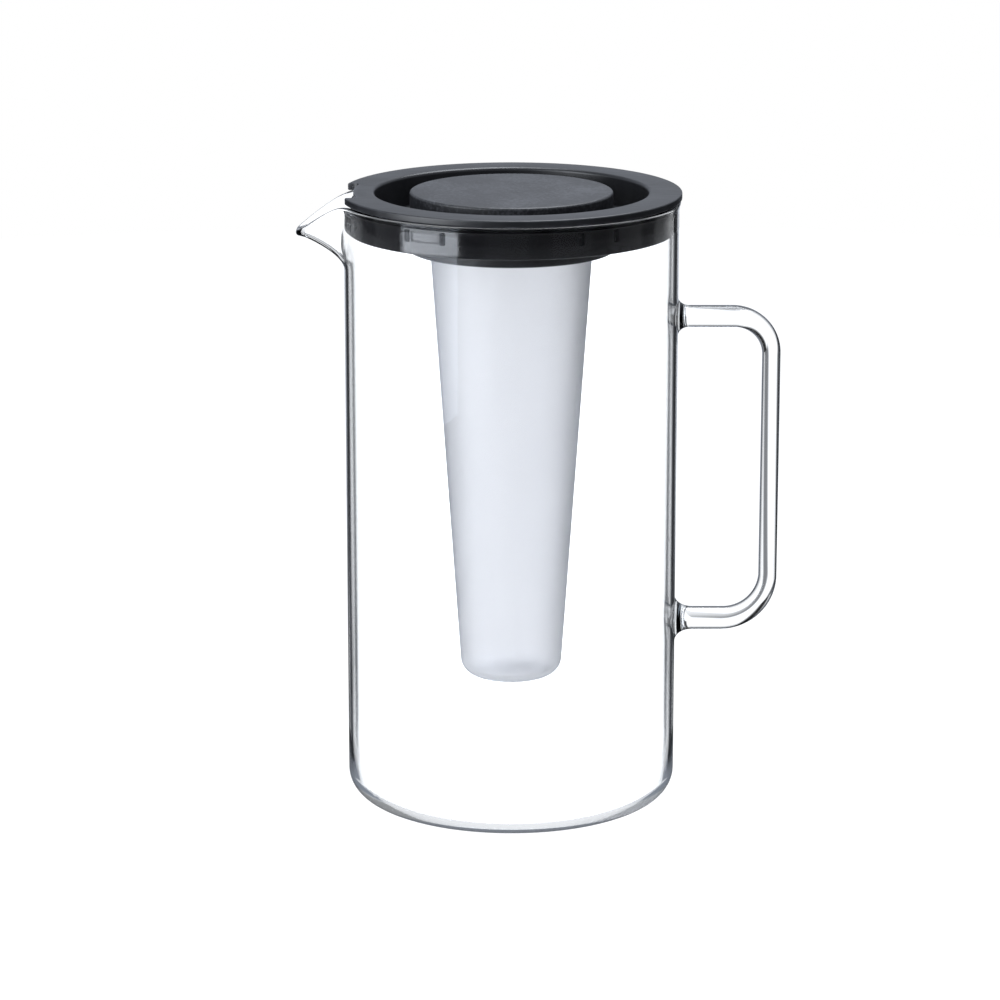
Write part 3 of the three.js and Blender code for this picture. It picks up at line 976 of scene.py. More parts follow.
@dataclass
class Glassware:
    """The blown body with its drawn spout, and the handle fused to it, all one piece of glass."""

    wall: float = 2 * MM
    floor: float = 3 * MM
    foot_rounding: float = 9 * MM
    foot_steps: int = 12
    floor_ring_share: float = 0.4
    bead_proud: float = 0.5 * MM
    bead_height: float = 3.4 * MM
    bead_round_share: float = 0.96
    bead_steps: int = 6
    spout_reach: float = 16.8 * MM
    spout_half_width: float = 11.2 * MM
    spout_drop: float = 11.9 * MM
    spout_depth: float = 26 * MM
    spout_sector: Sector = Sector(math.radians(32), 50)
    crest_power: float = 4.0
    fall_power: float = 1.2
    flare_power: float = 1.7
    throat_rows: int = 24
    patch_columns: int = 8
    fine_columns: int = 10
    plain_columns: int = 56
    column_turn: float = math.radians(1.2)
    row_pitch: float = 1.3 * MM
    row_shares: tuple[float, ...] = (-0.35, 0.25, 0.5, 0.75)
    bridge_cuts: int = 3
    boss_height: float = 0.35 * MM
    boss_spread: float = 6 * MM
    radius: float = field(init=False)
    height: float = field(init=False)
    handle: Handle = field(init=False)

    def __post_init__(self) -> None:
        """Takes the body's size from the frame."""
        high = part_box("glass_body")[1]
        self.radius = high.y - self.bead_proud
        self.height = high.z
        self.handle = Handle(self.radius)

    @property
    def bead_radius(self) -> float:
        """Radius of the rounded rim."""
        return (self.wall + self.bead_proud) / 2

    @property
    def lip(self) -> float:
        """Height at which the rim's rounding starts."""
        return self.height - self.bead_radius

    @property
    def throat(self) -> float:
        """Height at which the spout starts."""
        return self.height - self.spout_depth

    @property
    def feet(self) -> tuple[float, float]:
        """Heights of the handle's lower and upper foot."""
        return self.handle.lower_height, self.handle.upper_height

    def crest(self, angle: float) -> float:
        """Share of the spout's reach at an angle from its middle, where it is 1."""
        half_angle = math.asin(self.spout_half_width / (self.radius + self.spout_reach / 2))
        return 1 / (1 + abs(angle / half_angle) ** self.crest_power)

    def drawn(self, place: Vector) -> Vector:
        """Draws the spout out of the wall at one point.

        Args:
            place: The point on the straight wall.

        Returns:
            Its place on the wall with its spout.
        """
        if place.z <= self.throat:
            return place
        climb = (place.z - self.throat) / (self.lip - self.throat)
        angle = math.atan2(-place.y, -place.x)
        crest = self.crest(angle)
        radius = self.radius + self.spout_reach * crest * climb**self.flare_power
        drop = self.spout_drop * crest**self.fall_power
        height = self.throat + (self.lip - drop - self.throat) * climb
        return Vector((-radius * math.cos(angle), -radius * math.sin(angle), height))

    def thickness(self, height: float) -> float:
        """Thickness of the glass that starts at a height of the straight outside."""
        low = max(1 - height / self.foot_rounding, 0)
        return self.wall + (self.floor - self.wall) * low + self.bead_proud * self.bead_share(height)

    def bead_share(self, height: float) -> float:
        """How much of the rim's bead there is at a height, from 0 to 1."""
        return max(1 - (self.lip - height) / (self.bead_height - self.bead_radius), 0)

    def rows(self) -> list[float]:
        """Heights of the straight wall's rows, close together at the feet and the throat."""
        steps = range(-self.patch_columns, self.patch_columns + 1)
        rows = [foot + self.row_pitch * step for foot in self.feet for step in steps]
        climb = self.lip - self.throat
        rows += [self.throat + climb * step / self.throat_rows for step in range(self.throat_rows + 1)]
        lower, upper = self.feet
        rows += [lower + (upper - lower) * share for share in self.row_shares]
        return sorted(rows)

    def build(self) -> None:
        """Makes the glass and dresses it."""
        glass = self.blow()
        self.round_rim(glass)
        glass.move_points(self.bossed)
        self.fuse_handle(glass)
        glass.dress(Body.JUG, Slot.GLASS, GlassFinish().material(), "glass_body", "handle")

    def blow(self) -> Workpiece:
        """Turns the outside, draws the spout and gives the wall its thickness.

        Returns:
            The open body, with a flat rim.
        """
        fine = Sector(self.column_turn * self.fine_columns, self.fine_columns)
        spout = self.spout_sector
        plain = Sector(math.pi - fine.angle - spout.angle, self.plain_columns)
        body = Workpiece.turned("glass_jug", [
            Corner(0, 0),
            Corner(self.radius * self.floor_ring_share, 0),
            Corner(self.radius, 0, self.foot_rounding, self.foot_steps),
            *[Corner(self.radius, row) for row in self.rows()],
        ], closed=False, sectors=(fine, plain, spout, spout, plain, fine))
        mesh = body.thing.data
        heights = [vertex.co.z for vertex in mesh.vertices]
        group = body.thing.vertex_groups.new(name="thickness")
        for i, height in enumerate(heights):
            group.add([i], self.thickness(height) / self.floor, "REPLACE")
        for name in ("inside", "rim"):
            body.thing.vertex_groups.new(name=name)
        body.move_points(self.drawn)
        normals = [vertex.normal.copy() for vertex in mesh.vertices]
        for vertex, normal, height in zip(mesh.vertices, normals, heights):
            vertex.co += normal * self.bead_proud * self.bead_share(height)
        mesh.update()
        body.modify(
            "SOLIDIFY", thickness=self.floor, offset=-1, use_even_offset=True,
            vertex_group="thickness", shell_vertex_group="inside", rim_vertex_group="rim",
        )
        return body

    def round_rim(self, glass: Workpiece) -> None:
        """Raises the flat rim and rounds it.

        Args:
            glass: The body.
        """
        with glass.editing():
            groups = glass.thing.vertex_groups
            groups.active_index = groups["rim"].index
            bpy.ops.object.vertex_group_select()
            bpy.ops.mesh.select_mode(type="FACE")
            bpy.ops.mesh.extrude_region_shrink_fatten(
                TRANSFORM_OT_shrink_fatten={"value": self.bead_radius},
            )
            bpy.ops.mesh.region_to_loop()
            width = self.bead_radius * self.bead_round_share
            bpy.ops.mesh.bevel(offset=width, segments=self.bead_steps, affect="EDGES")
        top = max(vertex.co.z for vertex in glass.thing.data.vertices)
        squeeze = (self.height - self.lip) / (top - self.lip)
        glass.move_points(lambda place: Vector((
            place.x, place.y, min(place.z, self.lip) + max(place.z - self.lip, 0) * squeeze,
        )))

    def bossed(self, place: Vector) -> Vector:
        """Raises the soft boss that each fused foot leaves on the inside of the wall.

        Args:
            place: A point of the glass.

        Returns:
            Its place with the bosses.
        """
        radius = math.hypot(place.x, place.y)
        inside = self.radius - self.wall
        if place.x < 0 or abs(radius - inside) > self.wall / 4:
            return place
        away = [math.hypot(place.y, place.z - foot) / self.boss_spread for foot in self.feet]
        rise = self.boss_height * sum(math.exp(-(distance**2)) for distance in away)
        scale = (radius - rise) / radius
        return Vector((place.x * scale, place.y * scale, place.z))

    def fuse_handle(self, glass: Workpiece) -> None:
        """Opens the outside of the wall at each foot and bridges it to the handle.

        Args:
            glass: The body.
        """
        Workpiece.joined([glass, self.handle.rod()])
        half_width = self.radius * math.sin(self.column_turn * self.patch_columns)
        half_height = self.row_pitch * self.patch_columns
        outside = self.radius - self.wall / 2
        with glass.editing():
            for foot in self.feet:
                glass.pick(Element.FACE, lambda place: (
                    outside < math.hypot(place.x, place.y) < self.radius + WELD
                    and place.x > 0
                    and abs(place.y) < half_width
                    and abs(place.z - foot) < half_height
                    and self.is_wall(place)
                ))
                bpy.ops.mesh.delete(type="FACE")
                glass.select(Element.EDGE, lambda edge: (
                    edge.is_boundary
                    and abs(edge.verts[0].co.z - foot) < half_height + self.row_pitch / 2
                ))
                bpy.ops.mesh.bridge_edge_loops(number_cuts=self.bridge_cuts, interpolation="LINEAR")
            glass.weld_all()
        glass.move_points(self.on_wall)

    def is_wall(self, place: Vector) -> bool:
        """Whether the middle of a face is on the wall's flat columns and not on a spread foot."""
        return math.hypot(place.x, place.y) < self.radius * math.cos(self.column_turn / 2) + WELD

    def on_wall(self, place: Vector) -> Vector:
        """Puts points that lie a hair inside the outer wall near the feet back on it.

        Args:
            place: A point of the glass.

        Returns:
            Its final place.
        """
        radius = math.hypot(place.x, place.y)
        slack = self.wall / 8
        away = min(abs(place.z - foot) for foot in self.feet)
        near = away < self.row_pitch * (self.patch_columns + 1)
        if place.x > 0 and near and self.radius - slack < radius < self.radius:
            scale = self.radius / radius
            return Vector((place.x * scale, place.y * scale, place.z))
        return place


@dataclass
class LidCover:
    """The lid's cover: flange with its pour notch, finger well and guide sleeve."""

    flange: float = 2.7 * MM
    flange_edge: float = 0.6 * MM
    under_edge: float = 0.54 * MM
    flange_width: float = 12.6 * MM
    wall: float = 2 * MM
    well_depth: float = 12.5 * MM
    well_draft: float = 0.8 * MM
    well_lip: float = 1.4 * MM
    well_foot: float = 1.5 * MM
    sleeve_inner: float = 37 * MM
    neck_radius: float = 57.6 * MM
    neck_wall: float = 1.8 * MM
    neck_height: float = 5.3 * MM
    snap_proud: float = 0.6 * MM
    snap_height: float = 1.4 * MM
    notch_half_width: float = 15.9 * MM
    notch_depth: float = 4.7 * MM
    notch_corner: float = 2.5 * MM
    notch_sink: float = 0.2 * MM
    notch_crisp: float = 0.24 * MM
    notch_steps: int = 6
    crisp: float = 0.3 * MM
    radius: float = field(init=False)
    top: float = field(init=False)
    bottom: float = field(init=False)

    def __post_init__(self) -> None:
        """Takes the cover's place from the frame."""
        low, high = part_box("lid_cover")
        self.radius = high.y
        self.top = high.z
        self.bottom = low.z

    def corners(self) -> list[Corner]:
        """The cover's outline, from the sleeve's foot round its underside to the well."""
        under = self.top - self.flange
        floor = self.top - self.well_depth
        ceiling = floor - self.wall
        well = self.radius - self.flange_width
        neck_bottom = under - self.neck_height
        neck_inner = self.neck_radius - self.neck_wall
        snap = self.neck_radius + self.snap_proud
        snap_top = neck_bottom + self.snap_height
        return [
            Corner(self.sleeve_inner, self.bottom, self.crisp),
            Corner(self.sleeve_inner + self.wall, self.bottom, 2 * self.crisp),
            Corner(self.sleeve_inner + self.wall, ceiling, self.flange_edge),
            Corner(well - self.well_draft + self.wall, ceiling, 2 * self.well_foot, 6),
            Corner(well + self.wall, under, self.flange_edge),
            Corner(neck_inner, under, self.crisp),
            Corner(neck_inner, neck_bottom, self.crisp),
            Corner(snap, neck_bottom, self.crisp),
            Corner(snap, snap_top, self.crisp),
            Corner(self.neck_radius, snap_top + self.snap_proud / 2),
            Corner(self.neck_radius, under, self.crisp),
            Corner(self.radius, under, self.under_edge, 5),
            Corner(self.radius, self.top, self.flange_edge, 6),
            Corner(well, self.top, self.well_lip, 8),
            Corner(well - self.well_draft, floor, self.well_foot, 6),
            Corner(self.sleeve_inner, floor, self.crisp),
        ]

    def notch_cutter(self) -> Workpiece:
        """Makes the solid that cuts the pour notch.

        Returns:
            The cutter, which starts a hair below the flange.
        """
        outside = self.radius + self.flange
        inner = self.radius - self.notch_depth
        edge_turn = math.asin(self.notch_half_width / inner)
        arc = []
        for i in range(2 * self.notch_steps + 1):
            turn = edge_turn * (i / self.notch_steps - 1)
            rounding = self.notch_corner if i in (0, 2 * self.notch_steps) else 0
            arc.append(Corner(-inner * math.cos(turn), inner * math.sin(turn), rounding, 6))
        cutter = Workpiece.outline("notch_cutter", [
            Corner(-outside, -self.notch_half_width), *arc, Corner(-outside, self.notch_half_width),
        ])
        start = self.top - self.flange - self.notch_sink
        cutter.move_points(lambda place: Vector((place.x, place.z, start)))
        with cutter.editing():
            bpy.ops.mesh.select_all(action="SELECT")
            bpy.ops.mesh.edge_face_add()
            cutter.extrude((0, 0, 2 * self.flange + self.notch_sink))
            cutter.weld_all()
        return cutter

    def build(self, effects: Effects) -> None:
        """Makes the cover and dresses it.

        Args:
            effects: The shared effects.
        """
        cover = Workpiece.turned("lid_cover_moulding", self.corners())
        cover.combine(Join.CUT, self.notch_cutter())
        inner = self.radius - self.notch_depth
        cover.soften_edges(self.notch_crisp, lambda place: (
            place.x < 0
            and abs(place.y) < self.notch_half_width + self.crisp
            and math.hypot(place.x, place.y) > inner - self.crisp
        ))
        cover.dress(Body.LID, Slot.LID, effects.finished(SATIN_LID), "lid_cover")


@dataclass
class StrainerSkirt:
    """The ring inside the glass, with strainer slots towards the spout and four sprung tabs."""

    wall: float = 1.8 * MM
    shoulder: float = 1.2 * MM
    shoulder_inner: float = 57.9 * MM
    slot_width: float = 2 * MM
    slot_height: float = 6.2 * MM
    slot_pitch: float = 3.6 * MM
    slot_count: int = 9
    slot_floor: float = 1.8 * MM
    tab_turn: float = math.radians(31.4)
    tab_width: float = 11.3 * MM
    tab_height: float = 4 * MM
    tab_rise: float = 4.9 * MM
    tab_proud: float = 0.2 * MM
    tab_edge: float = 0.18 * MM
    tab_cuts: int = 3
    tab_slot_width: float = 2.4 * MM
    tab_slot_height: float = 5 * MM
    tab_slot_gap: float = 0.6 * MM
    crisp: float = 0.3 * MM
    radius: float = field(init=False)
    bottom: float = field(init=False)
    top: float = field(init=False)

    def __post_init__(self) -> None:
        """Takes the skirt's place from the frame."""
        low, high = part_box("strainer_skirt")
        self.bottom = low.z
        self.top = high.z
        self.radius = high.y - self.tab_proud * math.cos(self.tab_turn)

    def corners(self) -> list[Corner]:
        """The skirt's outline."""
        inner = self.radius - self.wall
        shoulder_under = self.top - self.shoulder
        return [
            Corner(inner, self.bottom, self.crisp),
            Corner(self.radius, self.bottom, 2 * self.crisp, 5),
            Corner(self.radius, self.top, 2 * self.crisp, 5),
            Corner(self.shoulder_inner, self.top, self.crisp),
            Corner(self.shoulder_inner, shoulder_under, self.crisp),
            Corner(inner, shoulder_under, self.crisp),
        ]

    def tab_turns(self) -> list[float]:
        """Directions of the four tabs."""
        fronts = (-QUARTER_TURN, QUARTER_TURN)
        return [front + side * self.tab_turn for front in fronts for side in (-1, 1)]

    def tab_level(self) -> float:
        """Height of the tabs' middle."""
        return self.bottom + self.tab_rise + self.tab_height / 2

    def cutters(self) -> Workpiece:
        """Makes one solid for each slot.

        Returns:
            The cutters, in one mesh.
        """
        level = self.bottom + self.slot_floor + self.slot_height / 2
        slots = []
        for i in range(self.slot_count):
            along = (i - (self.slot_count - 1) / 2) * self.slot_pitch
            slots.append((self.slot_width, self.slot_height, math.pi + along / self.radius, level))
        away = (self.tab_width / 2 + self.tab_slot_gap + self.tab_slot_width / 2) / self.radius
        for turn in self.tab_turns():
            for side in (-away, away):
                slots.append((self.tab_slot_width, self.tab_slot_height, turn + side, self.tab_level()))
        pieces = []
        for i, (width, height, turn, slot_level) in enumerate(slots):
            cutter = Workpiece.block(f"slot_{i}", Vector((4 * self.wall, width, height)), 2 * self.crisp)
            cutter.place(turn, self.radius - self.wall / 2, slot_level)
            pieces.append(cutter)
        return Workpiece.joined(pieces)

    def pads(self) -> Workpiece:
        """Makes the four pads that stand a little proud of the skirt.

        Returns:
            The pads, in one mesh.
        """
        middle = self.radius + self.tab_proud - self.wall / 2
        pieces = []
        for i, turn in enumerate(self.tab_turns()):
            size = Vector((self.wall, self.tab_width, self.tab_height))
            pad = Workpiece.block(f"pad_{i}", size, self.tab_edge)
            with pad.editing():
                bpy.ops.mesh.select_all(action="SELECT")
                bpy.ops.mesh.subdivide(number_cuts=self.tab_cuts)
            pad.move_points(lambda place: self.wrapped(place, middle))
            pad.place(turn, 0, self.tab_level())
            pieces.append(pad)
        return Workpiece.joined(pieces)

    @staticmethod
    def wrapped(place: Vector, middle: float) -> Vector:
        """Wraps a flat pad round the skirt.

        Args:
            place: A point of the pad, with Y along the skirt.
            middle: The radius of the pad's middle.

        Returns:
            The wrapped place.
        """
        turn = place.y / middle
        reach = middle + place.x
        return Vector((reach * math.cos(turn), reach * math.sin(turn), place.z))

    def build(self, effects: Effects) -> None:
        """Makes the skirt and dresses it.

        Args:
            effects: The shared effects.
        """
        skirt = Workpiece.turned("strainer_ring", self.corners())
        skirt.combine(Join.ADD, self.pads())
        skirt.combine(Join.CUT, self.cutters())
        skirt.dress(Body.LID, Slot.LID, effects.finished(POLISHED_SKIRT), "strainer_skirt")


@dataclass
class LidSeal:
    """The silicone ring in the groove between flange and skirt."""

    inner: float = 57.9 * MM
    lip: float = 0.4 * MM
    crisp: float = 0.3 * MM

    def build(self, effects: Effects) -> None:
        """Makes the ring and dresses it.

        Args:
            effects: The shared effects.
        """
        low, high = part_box("lid_seal")
        outer = high.y - self.lip
        middle = (low.z + high.z) / 2
        ring = Workpiece.turned("silicone_ring", [
            Corner(self.inner, low.z, self.crisp),
            Corner(outer, low.z, self.crisp),
            Corner(outer + self.lip, middle, self.crisp * 2),
            Corner(outer, high.z, self.crisp),
            Corner(self.inner, high.z, self.crisp),
        ])
        ring.dress(Body.SEAL_RING, Slot.SEAL, effects.finished(SILICONE), "lid_seal")


@dataclass
class Thread:
    """The quick thread between the insert's mouth and the cap."""

    starts: int = 3
    lead: float = 20 * MM
    rib_height: float = 1.4 * MM
    rib_turn: float = math.radians(50)
    steps: int = 24
    crisp: float = 0.25 * MM

    def ribs(self, inner: float, outer: float, level: float) -> Workpiece:
        """Makes the helical ribs between two radii.

        Args:
            inner: The radius of their inner side.
            outer: The radius of their outer side.
            level: The height of their underside at their start.

        Returns:
            All ribs, in one mesh.
        """
        pieces = []
        climb = self.lead * self.rib_turn / FULL_TURN
        top = level + self.rib_height
        for i in range(self.starts):
            rib = Workpiece.outline(f"rib_{i}", [
                Corner(inner, level), Corner(outer, level + self.crisp),
                Corner(outer, top - self.crisp), Corner(inner, top),
            ])
            rib.modify(
                "SCREW", angle=self.rib_turn, screw_offset=climb, steps=self.steps,
                render_steps=self.steps, use_smooth_shade=False, use_merge_vertices=False,
            )
            with rib.editing():
                bpy.ops.mesh.select_mode(type="EDGE")
                bpy.ops.mesh.select_non_manifold(extend=False)
                bpy.ops.mesh.fill()
                rib.weld_all()
            rib.place(FULL_TURN * i / self.starts, 0, 0)
            pieces.append(rib)
        return Workpiece.joined(pieces)


@dataclass
class Insert:
    """The tapered, frosted insert that hangs in the lid, with the thread for its cap."""

    wall: float = 1.6 * MM
    floor: float = 2 * MM
    top_radius: float = 30.6 * MM
    bottom_radius: float = 19 * MM
    foot_rounding: float = 6 * MM
    length: float = 166.5 * MM
    shoulder_rise: float = 3.5 * MM
    cup_radius: float = 36.4 * MM
    rim_thickness: float = 1.5 * MM
    rim_under: float = 222.8 * MM
    mouth_radius: float = 34.6 * MM
    thread_rise: float = 2.3 * MM
    thread_depth: float = 1.5 * MM
    root: float = 0.5 * MM
    crisp: float = 0.3 * MM
    thread: Thread = field(default_factory=Thread)

    @property
    def rim_top(self) -> float:
        """Height of the rim's upper side."""
        return self.rim_under + self.rim_thickness

    def corners(self) -> list[Corner]:
        """The insert's outline, from its foot up the outside and down the inside."""
        low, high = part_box("insert")
        shoulder = low.z + self.length
        shoulder_top = shoulder + self.shoulder_rise
        mouth_inner = self.mouth_radius - self.wall
        cup_inner = self.cup_radius - self.wall
        floor_top = low.z + self.floor
        inner_foot = self.foot_rounding - self.wall
        return [
            Corner(0, low.z),
            Corner(self.bottom_radius, low.z, self.foot_rounding, 10),
            Corner(self.top_radius, shoulder, 3 * self.crisp, 4),
            Corner(self.cup_radius, shoulder_top, 3 * self.crisp, 4),
            Corner(self.cup_radius, self.rim_under, self.crisp, 3),
            Corner(high.y, self.rim_under, self.crisp, 3),
            Corner(high.y, self.rim_top, self.crisp, 3),
            Corner(self.mouth_radius, self.rim_top, self.crisp, 3),
            Corner(self.mouth_radius, high.z, 2 * self.crisp, 4),
            Corner(mouth_inner, high.z, self.crisp, 3),
            Corner(mouth_inner, self.rim_top, 2 * self.crisp, 3),
            Corner(cup_inner, self.rim_under, 2 * self.crisp, 3),
            Corner(cup_inner, shoulder_top + self.wall / 2, 3 * self.crisp, 3),
            Corner(self.top_radius - self.wall, shoulder + self.wall / 2, 3 * self.crisp, 3),
            Corner(self.bottom_radius - self.wall, floor_top, inner_foot, 8),
            Corner(0, floor_top),
        ]

    def build(self, effects: Effects) -> None:
        """Makes the insert and dresses it.

        Args:
            effects: The shared effects.
        """
        insert = Workpiece.turned("frosted_insert", self.corners(), closed=False)
        insert.combine(Join.ADD, self.thread.ribs(
            self.mouth_radius - self.root, self.mouth_radius + self.thread_depth,
            self.rim_top + self.thread_rise,
        ))
        insert.dress(Body.INSERT, Slot.INSERT, FrostedFinish().material(effects), "insert")


@dataclass
class KnobCap:
    """The screw cap of the insert, the round knob in the middle of the lid."""

    wall: float = 1.8 * MM
    top_thickness: float = 2.2 * MM
    top_ring_share: float = 0.6
    edge: float = 1 * MM
    crisp: float = 0.3 * MM
    rest_gap: float = 0.3 * MM
    root: float = 0.5 * MM
    thread: Thread = field(default_factory=Thread)

    def build(self, effects: Effects, insert: Insert) -> None:
        """Makes the cap and dresses it.

        Args:
            effects: The shared effects.
            insert: The insert that the cap screws on.
        """
        low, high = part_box("knob_cap")
        inner = high.y - self.wall
        cap = Workpiece.turned("knob_cap_moulding", [
            Corner(0, high.z - self.top_thickness),
            Corner(inner, high.z - self.top_thickness, self.crisp),
            Corner(inner, low.z, self.crisp),
            Corner(high.y, low.z, self.crisp),
            Corner(high.y, high.z, self.edge, 10),
            Corner(high.y * self.top_ring_share, high.z),
            Corner(0, high.z),
        ], closed=False)
        level = insert.rim_top + insert.thread_rise - self.rest_gap - self.thread.rib_height
        cap.combine(Join.ADD, self.thread.ribs(
            inner + self.root, insert.mouth_radius + self.rest_gap, level,
        ))
        cap.dress(Body.CAP, Slot.KNOB, effects.finished(GRAINED_KNOB), "knob_cap")


@dataclass
class CapSeal:
    """The flat silicone ring under the cap."""

    crisp: float = 0.2 * MM

    def build(self, effects: Effects, insert: Insert) -> None:
        """Makes the ring and dresses it.

        Args:
            effects: The shared effects.
            insert: The insert whose mouth it seals.
        """
        low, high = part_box("cap_seal")
        inner = insert.mouth_radius - insert.wall
        ring = Workpiece.turned("cap_gasket_ring", [
            Corner(inner, low.z, self.crisp),
            Corner(high.y, low.z, self.crisp),
            Corner(high.y, high.z, self.crisp),
            Corner(inner, high.z, self.crisp),
        ])
        ring.dress(Body.CAP_GASKET, Slot.SEAL, effects.finished(SILICONE), "cap_seal")


def look_at(thing: bpy.types.Object, at: Vector) -> None:
    """Turns a lamp or camera to look at a place.

    Args:
        thing: The lamp or camera.
        at: The place.
    """
    looks = at - Vector(thing.location)
    thing.rotation_euler = looks.to_track_quat("-Z", "Y").to_euler()


@dataclass(frozen=True)
class Lamp:
    """A soft box: its size, its place and where it looks."""

    name: str
    width: float
    height: float
    place: tuple[float, float, float]
    aim: tuple[float, float, float]
    power: float
    colour: tuple[float, float, float] = (0.9, 0.94, 1.0)

    def build(self) -> None:
        """Adds the lamp."""
        bpy.ops.object.light_add(type="AREA", location=self.place)
        lamp = bpy.context.object
        lamp.name = self.name
        lamp.data.shape = "RECTANGLE"
        lamp.data.size = self.width
        lamp.data.size_y = self.height
        lamp.data.energy = self.power
        lamp.data.color = self.colour
        look_at(lamp, Vector(self.aim))
        lamp.visible_camera = False


@dataclass
class Studio:
    """The plain floor, the light and the camera.

    The levels say how bright the room looks to light that has met glass on its way.
    """

    floor_radius: float = 1.2
    floor_sides: int = 180
    floor_colour: Colour = (0.86, 0.86, 0.87, 1)
    glow: float = 1.12
    plain_share: float = 0.18
    strip_count: float = 8.0
    strip_turn: float = math.radians(-24)
    strip_span: Span = (-0.9, -0.1)
    strip_level: float = 0.02
    upwards: Span = (0, 0.3)
    thin_level: float = 1.2
    edge_level: float = 1.1
    deep_level: float = 2.1
    inner_level: float = 0.35
    led_level: float = 0.36
    bent_back: Span = (0.6, 0.9)
    bent_front: float = 0.3
    mirrored_back: Span = (0.9, 0.985)
    mirrored_front: float = 0.07
    # A painted pool of light on the floor round the jug, seen only through the glass.
    painted_pool_radius: float = 90 * MM
    painted_pool_fade: float = 220 * MM
    painted_pool_level: float = 0.95
    mirrored_floor: float = 0.9
    mirrored_climb: Span = (0.35, 0.9)
    mirrored_room: float = 0.6
    mirrored_ceiling: float = 0.35
    fill: float = 0.4
    tint: Colour = (0.97, 0.98, 1.0, 1)
    mirrored_tint: Colour = (0.82, 0.88, 1.0, 1)
    room: bpy.types.NodeTree = field(init=False)
    camera_place: tuple[float, float, float] = (-4.3 * MM, -1400 * MM, 480 * MM)
    camera_aim: tuple[float, float, float] = (-4.3 * MM, 0, 115.1 * MM)
    lens: float = 136.1
    lamps: tuple[Lamp, ...] = (
        Lamp("key_box", 0.48, 0.9, (-0.52, -0.338, 0.47), (0, 0, 0.47), 6.4),
        Lamp("top_box", 1.0, 1.0, (0.25, 0.5, 1.5), (0, 0, 0.2), 24.0),
    )

    def build(self) -> None:
        """Builds the whole studio."""
        self.room = self.build_room()
        self.build_floor()
        self.build_world()
        for lamp in self.lamps:
            lamp.build()
        self.build_camera()

    def build_room(self) -> bpy.types.NodeTree:
        """Builds the levels at which a ray finds the room, by the way that it took there.

        Returns:
            The group. Its output Level is for rays that passed glass or were mirrored.
        """
        group, tree, given = new_group("room_levels", {
            "Towards": "NodeSocketVector",
            "Mirrored Level": 0.5,
            "Bent": 0.0,
            "Mirrored": 0.0,
            "Passes": 0.0,
            "Mirrors": 0.0,
        }, {"Level": "NodeSocketFloat"})
        towards = given["Towards"]
        azimuth = tree.math("ARCTAN2", tree.part(towards, "X"), tree.part(towards, "Y"))
        turned = tree.math("MULTIPLY_ADD", azimuth, self.strip_count, self.strip_turn)
        strips = tree.ease(tree.math("COSINE", turned), self.strip_span, self.strip_level, 1)
        level = tree.add("VectorMath", {0: towards, 1: (1, 1, 0)}, operation="MULTIPLY").outputs[0]
        back = tree.part(tree.add("VectorMath", {0: level}, operation="NORMALIZE").outputs[0], "Y")
        above = tree.ease(tree.part(towards, "Z"), self.upwards, 0, 1)
        clean = tree.math("LESS_THAN", given["Mirrors"], FIRST)
        led = tree.math("GREATER_THAN", given["Mirrors"], SECOND)
        thick = tree.math("GREATER_THAN", given["Passes"], THIRD)
        deep = tree.mix(clean, self.inner_level, self.deep_level)
        thin = tree.times(strips, tree.mix(clean, self.edge_level, self.thin_level))
        bent_flag = tree.math("MAXIMUM", tree.ease(back, self.bent_back, self.bent_front, 1), above)
        passed = tree.times(tree.mix(thick, thin, deep), tree.mix(clean, bent_flag, 1.0))
        flag = tree.math("MAXIMUM", tree.ease(back, self.mirrored_back, self.mirrored_front, 1), above)
        once = tree.times(given["Mirrored"], given["Mirrored Level"], flag)
        mirrored = tree.mix(led, once, tree.times(given["Mirrored"], self.led_level))
        total = tree.math("MULTIPLY_ADD", given["Bent"], passed, mirrored)
        tree.add("NodeGroupOutput", {"Level": total})
        return group

    def place_room(
        self, tree: Tree, path: bpy.types.bpy_prop_collection, towards: Socket, mirrored: object,
    ) -> Socket:
        """Places the room's levels in the world or the floor.

        Args:
            tree: The tree of the world or the floor.
            path: Its Light Path node's outputs.
            towards: The direction or place that the ray reached.
            mirrored: The level for rays that were only mirrored.

        Returns:
            The level's socket.
        """
        return tree.use(self.room, **{
            "Towards": towards,
            "Mirrored Level": mirrored,
            "Bent": path["Is Transmission Ray"],
            "Mirrored": self.only_mirrored(tree, path),
            "Passes": path["Transmission Depth"],
            "Mirrors": path["Glossy Depth"],
        })

    def mirror_colour(self, tree: Tree, path: bpy.types.bpy_prop_collection) -> Socket:
        """Gives the room's colour, cooler where it is mirrored.

        Args:
            tree: The tree of the world or the floor.
            path: Its Light Path node's outputs.

        Returns:
            The colour's socket.
        """
        neutral = tree.blend(path["Is Camera Ray"], self.tint, WHITE)
        return tree.blend(self.only_mirrored(tree, path), neutral, self.mirrored_tint)

    @staticmethod
    def only_mirrored(tree: Tree, path: bpy.types.bpy_prop_collection) -> Socket:
        """Marks rays whose last turn was a mirroring and not a bend in glass."""
        return tree.math("SUBTRACT", path["Is Glossy Ray"], path["Is Transmission Ray"], clamp=True)

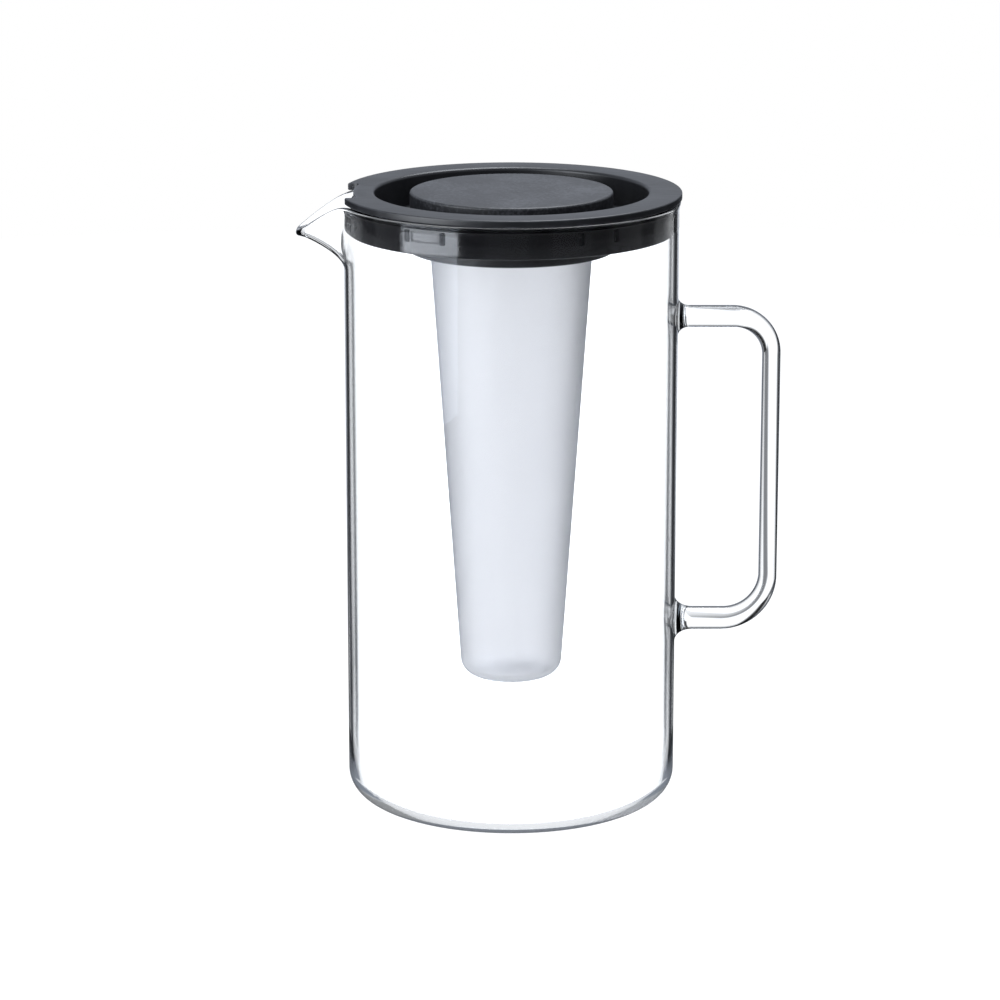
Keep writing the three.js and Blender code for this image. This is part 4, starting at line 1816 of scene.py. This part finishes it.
    def build_floor(self) -> None:
        """Lays the floor: white to the camera, but for the shadow that falls on it, with a painted pool of
        light round the jug that shows only through the glass.
        """
        Workpiece.clear_bench()
        bpy.ops.mesh.primitive_circle_add(
            vertices=self.floor_sides, radius=self.floor_radius, fill_type="NGON",
        )
        floor = bpy.context.object
        floor.name = "floor"
        made, tree = new_material("floor_paper")
        path = tree.add("LightPath").outputs
        seen, bent = path["Is Camera Ray"], path["Is Transmission Ray"]
        place = tree.add("NewGeometry").outputs["Position"]
        away = tree.add("VectorMath", {0: place}, operation="LENGTH").outputs["Value"]
        # Painted pool of light: rays through the glass find the floor near the jug brighter.
        near = tree.ease(away, (self.painted_pool_radius, self.painted_pool_radius + self.painted_pool_fade), self.painted_pool_level, 0)
        level = self.place_room(tree, path, place, self.mirrored_floor)
        level = tree.math("MAXIMUM", level, tree.times(near, bent))
        level = tree.math("MULTIPLY_ADD", seen, self.glow, level)
        glowing = tree.times(tree.math("MAXIMUM", seen, bent), 1 - self.plain_share)
        share = tree.mix(self.only_mirrored(tree, path), glowing, 1.0)
        plain = tree.add("BsdfDiffuse", {"Color": self.floor_colour})
        glow = tree.add("Emission", {"Color": self.mirror_colour(tree, path), "Strength": level})
        mixed = tree.add("MixShader", {0: share, 1: plain.outputs[0], 2: glow.outputs[0]})
        tree.add("OutputMaterial", {"Surface": mixed.outputs[0]})
        floor.data.materials.append(made)

    def build_world(self) -> None:
        """Surrounds the jug with light: white behind it, darker where glass gets its outlines."""
        world = bpy.data.worlds.new("studio")
        bpy.context.scene.world = world
        world.use_nodes = True
        tree = Tree(world.node_tree)
        towards = tree.add("TexCoord").outputs["Generated"]
        path = tree.add("LightPath").outputs
        climb = tree.part(towards, "Z")
        mirrored = tree.ease(climb, self.mirrored_climb, self.mirrored_room, self.mirrored_ceiling)
        level = self.place_room(tree, path, towards, mirrored)
        level = tree.math("ADD", level, path["Is Camera Ray"])
        level = tree.math("MULTIPLY_ADD", path["Is Diffuse Ray"], self.fill, level)
        sky = tree.add("Background", {"Color": self.mirror_colour(tree, path), "Strength": level})
        plain = tree.add("Background", {"Color": WHITE, "Strength": 1.0})
        seen = path["Is Camera Ray"]
        mixed = tree.add("MixShader", {0: seen, 1: sky.outputs[0], 2: plain.outputs[0]})
        tree.add("OutputWorld", {"Surface": mixed.outputs[0]})

    def build_camera(self) -> None:
        """Sets up the camera."""
        bpy.ops.object.camera_add(location=self.camera_place)
        camera = bpy.context.object
        camera.name = "camera"
        camera.data.lens = self.lens
        look_at(camera, Vector(self.camera_aim))
        bpy.context.scene.camera = camera
        bpy.context.scene.view_settings.view_transform = "Standard"


def main() -> None:
    """Builds the studio and every piece, in order."""
    logging.basicConfig(level=logging.INFO, format="%(message)s")
    effects = Effects()
    Studio().build()
    Glassware().build()
    LidCover().build(effects)
    StrainerSkirt().build(effects)
    LidSeal().build(effects)
    insert = Insert()
    insert.build(effects)
    CapSeal().build(effects, insert)
    KnobCap().build(effects, insert)


if __name__ == "__main__":
    main()
